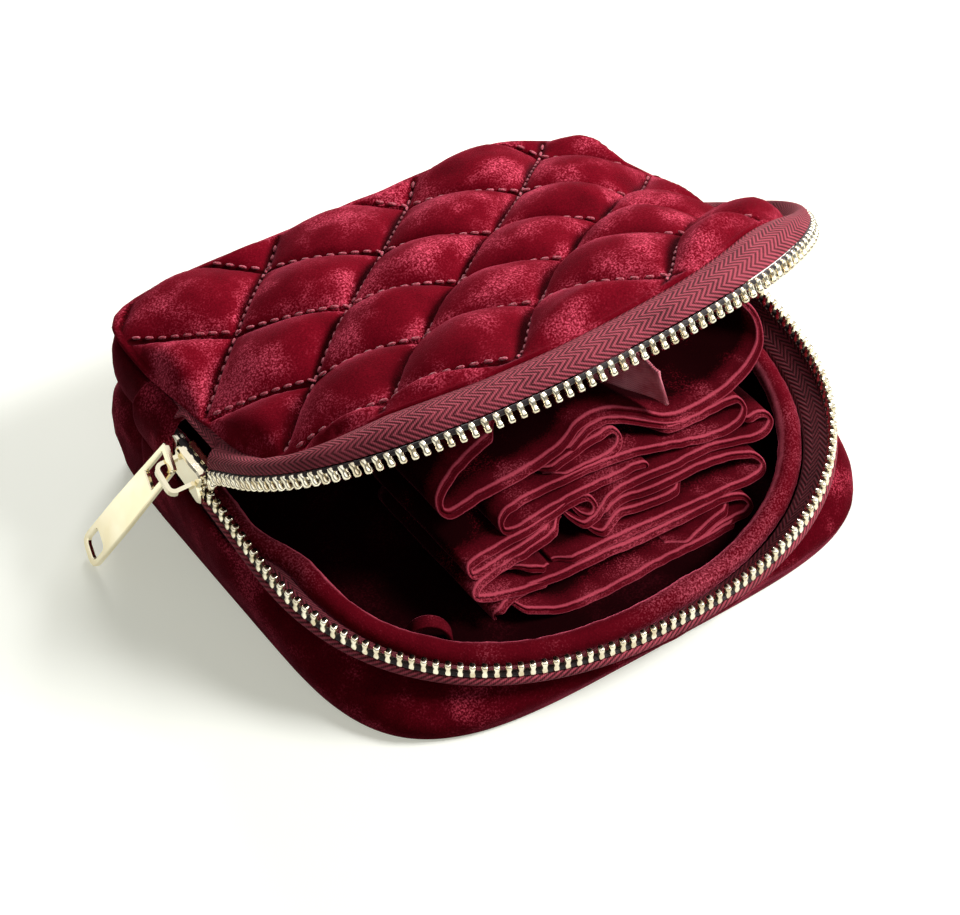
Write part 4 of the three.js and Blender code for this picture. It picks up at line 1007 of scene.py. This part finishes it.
def floor_panel():
    angle = 2 * np.pi * np.arange(160) / 160
    power = np.where(np.sin(angle) > 0, BACK_POWER, FOOT_POWER)
    profile = [
        (40, 0.12), (12, 0.05), (4.6, 0), (3.5, 0.25), (3.2, 0.9), (3.4, 1.7), (4.4, 2), (12, 2), (40, 2),
    ]
    rings = []
    for inset, z in profile:
        x, y = oval(angle, HALF - inset, FOOT_DEPTH - inset, power)
        rings.append(spots(x, FOOT_MIDDLE + y, z))
    return shell("floor_panel", np.stack(rings), inner_velvet)


# Folded strip

STRIP_FOOT = np.array([-48.0, 8.0])
STRIP_TOP = np.array([-24.0, 30.0])
STRIP_RISE = unit(STRIP_TOP - STRIP_FOOT)
STRIP_WIDTH, STRIP_THICKNESS, WRAP_THICKNESS = 42.0, 1.45, 1.9
FLAP_FOOT, FLAP_HEIGHT, FLAP_HALF = 33.4, 13.5, 0.45


def seen_on(points, through, normal):
    """Points seen in the photograph's frame, as places on a plane."""
    found = []
    for px, py in points:
        right, up = (px - VIEW_WIDTH / 2) / view_focus, (VIEW_HEIGHT / 2 - py) / view_focus
        ray = -view_back + view_right * right + view_up * up
        found.append(view_eye + ray * (((through - view_eye) @ normal) / (ray @ normal)))
    return np.array(found)


def lean_place(points):
    """The same, as x and distance up the plane in which the strip's front edges lie."""
    at = seen_on(points, np.array([0.0, *STRIP_FOOT]), np.array([0.0, -STRIP_RISE[1], STRIP_RISE[0]]))
    return spots(at[:, 0], np.maximum((at[:, 1] - STRIP_FOOT[0]) / STRIP_RISE[0], -2.9))


def ribbon(name, path, thickness, count, seed, wave):
    """Doubled cloth from its front edge's path in the leaning plane, with two rolled plies along it."""
    line, length = catmull(path, count)
    x, up = line.T
    turn_x, turn_up = unit(np.gradient(line, axis=0)).T
    ply = [(1, 0.9), (1.05, 0.4), (0.9, 0.08), (0.52, 0.0), (0.16, 0.2)]
    backs = np.linspace(2.5, STRIP_WIDTH, 12)
    section = [(1, depth) for depth in backs[::-1]] + ply + [(0, 0.9)]
    section += [(-share, depth) for share, depth in ply[::-1]] + [(-1, depth) for depth in backs]
    run = np.linspace(0, length, count)
    end = 1 - smooth(np.minimum(run, length - run) / 5)
    ripple = 0.35 * value_noise(spots(run, 0, seed * 10), 11, seed + 2)
    points = []
    for share, depth in section:
        back = depth + ripple * (1 - smooth(depth / 10)) + 3.5 * end * (1 - depth / STRIP_WIDTH)
        at = spots(run, depth, seed * 10)
        sway = 0.6 * wave * smooth(depth / 14) * value_noise(at, 12, seed)
        lift = share * thickness / 2 * (1 - 0.5 * end) + sway + 0.1 * value_noise(at, 2.5, seed + 1)
        points.append(spots(
            x - turn_up * lift,
            STRIP_FOOT[0] + up * STRIP_RISE[0] + back + turn_x * lift * 0.95,
            STRIP_FOOT[1] + up * STRIP_RISE[1] + turn_x * lift,
        ))
    rings = np.stack(points, axis=1)
    # front: distances from each ply's rolled edge, where the velvet gets a painted highlight
    front = [1.0, 0.35, 0.0, 0.85, 1.2, 1.3, 1.2, 0.85, 0.0, 0.35, 1.0]
    # across: the backs give the depth behind the front edge, along which the velvet gets painted shade deeper
    # into the fold
    across = np.concatenate([backs[::-1], front, backs])
    return shell(name, rings, strip_velvet, ring_uv(rings, run, across)), length


# Front edges of the flap and of the strip's turns, followed in the photograph
FLAP_EDGE = [(560, 370), (585, 376), (605, 381), (625, 388), (645, 394), (656, 398), (668, 405)]
WRAP_EDGE = [
    (736, 298), (745, 304), (753, 312), (759, 325), (761, 338), (758, 352), (750, 366), (738, 380),
    (724, 393), (709, 402), (694, 410), (680, 416), (664, 418), (648, 415), (630, 412), (612, 411),
    (598, 414), (586, 420), (576, 428), (569, 438), (560, 448), (548, 457), (535, 466), (520, 475),
    (505, 484), (490, 492), (475, 501), (460, 511), (449, 515), (442, 511), (440, 502), (443, 492),
    (449, 481), (457, 470), (468, 458), (480, 447), (492, 436), (503, 427),
]
TURN_EDGES = {
    "strip_under_wrap": [
        (700, 415), (684, 423), (666, 426), (648, 424), (630, 421), (612, 420), (600, 423), (588, 431),
        (580, 440), (572, 450), (558, 460),
    ],
    "strip_inner_turn": [
        (540, 478), (560, 465), (580, 451), (600, 438), (613, 431), (620, 437), (619, 447), (608, 457),
        (592, 465), (572, 474), (552, 484),
    ],
    "strip_turn_one": [
        (652, 434), (668, 430), (690, 421), (712, 410), (728, 402), (738, 400), (745, 408), (742, 419),
        (732, 428), (716, 436), (698, 441), (678, 445), (655, 449), (635, 453), (615, 460), (598, 467),
        (580, 474), (560, 483), (540, 492), (522, 502), (508, 512), (502, 523), (505, 532), (514, 532),
        (528, 524), (545, 513), (562, 503), (580, 493), (600, 484), (620, 475), (636, 467), (646, 465),
        (650, 473), (649, 482),
    ],
    "strip_turn_two": [
        (738, 429), (747, 422), (757, 415), (766, 414), (771, 420), (767, 430), (755, 438), (735, 443),
        (712, 449), (690, 458), (668, 469), (645, 479), (625, 488), (611, 497), (603, 508), (596, 519),
        (587, 526), (577, 524), (570, 518),
    ],
    "strip_turn_three": [
        (578, 512), (586, 519), (595, 516), (596, 507), (590, 499), (580, 500), (565, 508), (545, 521),
        (520, 536), (495, 550), (478, 560), (470, 568), (473, 576), (483, 573), (500, 562), (520, 550),
        (545, 533), (562, 522),
    ],
    "strip_turn_four": [
        (570, 524), (550, 538), (527, 554), (507, 567), (490, 579), (478, 590), (476, 598), (486, 599),
        (505, 595), (525, 590), (545, 585), (562, 580),
    ],
    "strip_turn_five": [
        (601, 528), (607, 519), (613, 509), (623, 501), (640, 495), (660, 487), (680, 477), (700, 467),
        (720, 460), (740, 456), (755, 456), (763, 463), (762, 471), (752, 479), (735, 487), (712, 497),
        (690, 507), (665, 518), (640, 529), (615, 540), (590, 552), (570, 562), (560, 569),
    ],
    "strip_ply_five": [
        (690, 483), (675, 493), (655, 503), (637, 510), (621, 515), (613, 524), (606, 533), (597, 534),
        (588, 529),
    ],
    "strip_turn_six": [
        (504, 629), (500, 619), (506, 607), (520, 595), (540, 584), (560, 576), (580, 567), (605, 555),
        (630, 545), (655, 534), (680, 522), (700, 511), (720, 502), (735, 498), (746, 499), (752, 506),
        (747, 514), (733, 521), (718, 530), (705, 540), (690, 551), (672, 560),
    ],
    "strip_inner_six": [
        (739, 505), (728, 511), (716, 520), (704, 531), (690, 544), (674, 553),
    ],
    "strip_low_fold": [
        (517, 577), (526, 571), (536, 569), (548, 571), (560, 575),
    ],
    "strip_bottom_ply": [
        (509, 605), (525, 610), (545, 611), (570, 608), (600, 600), (630, 590), (655, 578), (680, 562),
        (702, 546), (725, 529), (745, 516),
    ],
}


def knit_flap():
    """Knit standing up from the wrap."""
    line, length = catmull(seen_on(FLAP_EDGE, np.array([0, 0, FLAP_FOOT]), np.array([0, 0, 1])), 60)
    t = np.linspace(0, 1, 22)
    at = line[:, None] + spots(0, 2.2 * t - 2.5 * t * t, FLAP_HEIGHT * t)
    at[..., 0] -= 4.0 * t * smooth((np.arange(60)[:, None] - 36) / 22)
    at[..., 1] += 0.6 * value_noise(at, 7, 83) * t
    run = np.linspace(0, length, 60)
    return woven("knit_flap", run, at, face_of(at), FLAP_HALF, flap_cloth, FLAP_HEIGHT * t), length


def sewn_loop():
    angle = np.pi * np.arange(31) / 30
    path = spots(-5.5 * np.cos(angle), 7 * np.sin(angle))
    tangent = unit(np.gradient(path, axis=0))
    half = [(0.6, 1.6), (0.6, -1.6), (0.4, -2.0), (0, -1.7), (-0.4, -2.0)]
    rings = np.stack([
        spots(path[:, 0] - m * tangent[:, 1], w, path[:, 1] + m * tangent[:, 0])
        for m, w in half + [(-m, -w) for m, w in half]
    ], axis=1)
    c, s = math.cos(-0.5), math.sin(-0.5)
    rings = rings @ np.array([[c, s, 0], [-s, c, 0], [0, 0, 1]]) + [-50, -38, LINING_FLOOR + 1.3]
    return shell("sewn_loop", rings, strip_velvet, ring_uv(rings, 0 * angle, np.full(2 * len(half), 3.0)))


# Build


def mark(node):
    if node:
        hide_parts(node)


def dress(obj, body, node):
    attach(obj, body)
    mark(node)


def bend_with_lid(obj, node):
    mark(node)
    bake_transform(obj)


def fold(made, node, slot, width, rests_on):
    """Dresses a sheet of the insert."""
    obj, length = made
    dress(obj, "base", node)


dress(base_wall(), "base", "base_wall")
dress(back_wall(), "base", "back_panel")
dress(rim_roll(), "base", "base_rim_roll")
dress(lining_tub(), "base", "base_lining")
dress(floor_panel(), "base", "bottom_panel")
dress(end_cover("left_end_cover", -1), "base", "left_end_tab")
dress(end_cover("right_end_cover", 1), "base", "right_end_tab")
dress(base_tape(), "base", "base_zip_tape")
dress(tape_lip(), "base", None)

base_count = math.floor((BASE_ROW_END - ROW_START) / PITCH)
dress(tooth_row("base_teeth", ROW_START, base_count, -1), "base", "base_zip_teeth")
dress(bead("base_bead", ROW_START - 8, BASE_ROW_END + 8, -1), "base", None)
dress(bead_stitches(), "base", None)
lid_end_teeth = tooth_row("lid_teeth_bend", LID_ROW_START, END_TEETH, 1, row_share)
dress(lid_end_teeth, "base", "lid_teeth_end")
dress(bead("lid_bead_bend", ROW_START - 8, LID_ROW_SPLIT + 0.1, 1, row_share), "base", None)
lid_start = LID_ROW_SPLIT + ROW_SLIT
lid_count = math.floor((BASE_ROW_END - lid_start) / PITCH)
dress(tooth_row("lid_teeth", lid_start, lid_count, 1, full_share), "lid", "lid_zip_teeth")
dress(bead("lid_bead", lid_start - 0.2, BASE_ROW_END + 2, 1, full_share), "lid", None)

bend_with_lid(quilted_lid(), "lid_quilted_panel")
bend_with_lid(quilt_stitches(), None)
bend_with_lid(lid_lining(), "lid_lining")
bend_with_lid(lid_tape(), "lid_zip_tape")

for turn, (name, edge) in enumerate(TURN_EDGES.items()):
    path = lean_place(edge)
    count = max(40, int(travelled(path)[-1] / 0.45))
    made = ribbon(name, path, STRIP_THICKNESS, count, 61 + 5 * turn, 0.3)
    fold(made, "insert_folded_strip", "outer_velvet", STRIP_WIDTH, "case_lining")
made = ribbon("top_wrap", lean_place(WRAP_EDGE), WRAP_THICKNESS, 520, 41, 0.5)
fold(made, "insert_top_wrap", "outer_velvet", STRIP_WIDTH, "strip_turn_one")
fold(knit_flap(), "insert_flap", "zip_tape", FLAP_HEIGHT, "top_wrap")
dress(sewn_loop(), "base", "ring_loop")

# Metal and board carried over from the solids
for node, material in {
    "slider": pull_metal, "slider_bridge": pull_metal, "pull_tab": pull_metal, "bottom_stop": tooth_metal,
    "base_top_stop": tooth_metal, "lid_top_stop": tooth_metal, "bottom_board": board_face,
}.items():
    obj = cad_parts[node]
    obj.data.materials.clear()
    obj.data.materials.append(material)

# Floor and light

FLOOR_REACH = 4000

shade = Shader("floor")
rays = shade.node("LightPath").outputs
seen = shade.math("MAXIMUM", rays["Is Camera Ray"], rays["Is Glossy Ray"])
bounce = shade.node("BsdfDiffuse", {"Color": (0.3, 0.3, 0.29, 1)})
pale = shade.node("BsdfDiffuse", {"Color": (0.72, 0.725, 0.69, 1)})
glow = shade.node("Emission", {"Color": (1, 1.01, 0.86, 1), "Strength": 0.38})
both = shade.node("AddShader", {0: pale.outputs[0], 1: glow.outputs[0]})
choose = shade.node("MixShader", {0: seen, 1: bounce.outputs[0], 2: both.outputs[0]})
shade.feed(shade.tree.nodes["Material Output"].inputs["Surface"], choose.outputs[0])
corners = np.array([[-1, -1, 0], [1, -1, 0], [1, 1, 0], [-1, 1, 0]]) * FLOOR_REACH
piece("floor", corners, [[0, 1, 2, 3]], shade.material)

world = bpy.data.worlds.new("world")
bpy.context.scene.world = world
world.use_nodes = True
sky = Nodes(world.node_tree)
rays = sky.node("LightPath").outputs
rise = sky.node("SeparateXYZ", {0: sky.node("TexCoord").outputs["Generated"]}).outputs[2]
mirrored = sky.times(rays["Is Glossy Ray"], sky.span(rise, 0.3, 0.6, 0.03))
seen = sky.math("MAXIMUM", rays["Is Camera Ray"], mirrored)
seen = sky.math("MAXIMUM", seen, rays["Is Transmission Ray"])
background = world.node_tree.nodes["Background"]
background.inputs["Color"].default_value = (1, 1, 1, 1)
sky.feed(background.inputs["Strength"], sky.scaled(seen, 0.16, 1.0))


def area_light(name, place, target, size, power):
    data = bpy.data.lights.new(name, "AREA")
    data.shape = "SQUARE"
    data.size = size
    data.energy = power
    obj = bpy.data.objects.new(name, data)
    obj.location = place
    obj.rotation_euler = (Vector(place) - Vector(target)).to_track_quat("Z", "Y").to_euler()
    bpy.context.scene.collection.objects.link(obj)


area_light("key", (0.82, -0.6, 0.93), (0, 0, 0.03), 0.45, 24)
area_light("fill", (-0.45, -1.1, 0.95), (0, 0, 0.03), 0.7, 1.5)
area_light("back", (0.38, 0.54, 0.51), (0, 0, 0.05), 0.3, 5)

bpy.context.scene.view_settings.view_transform = "Standard"
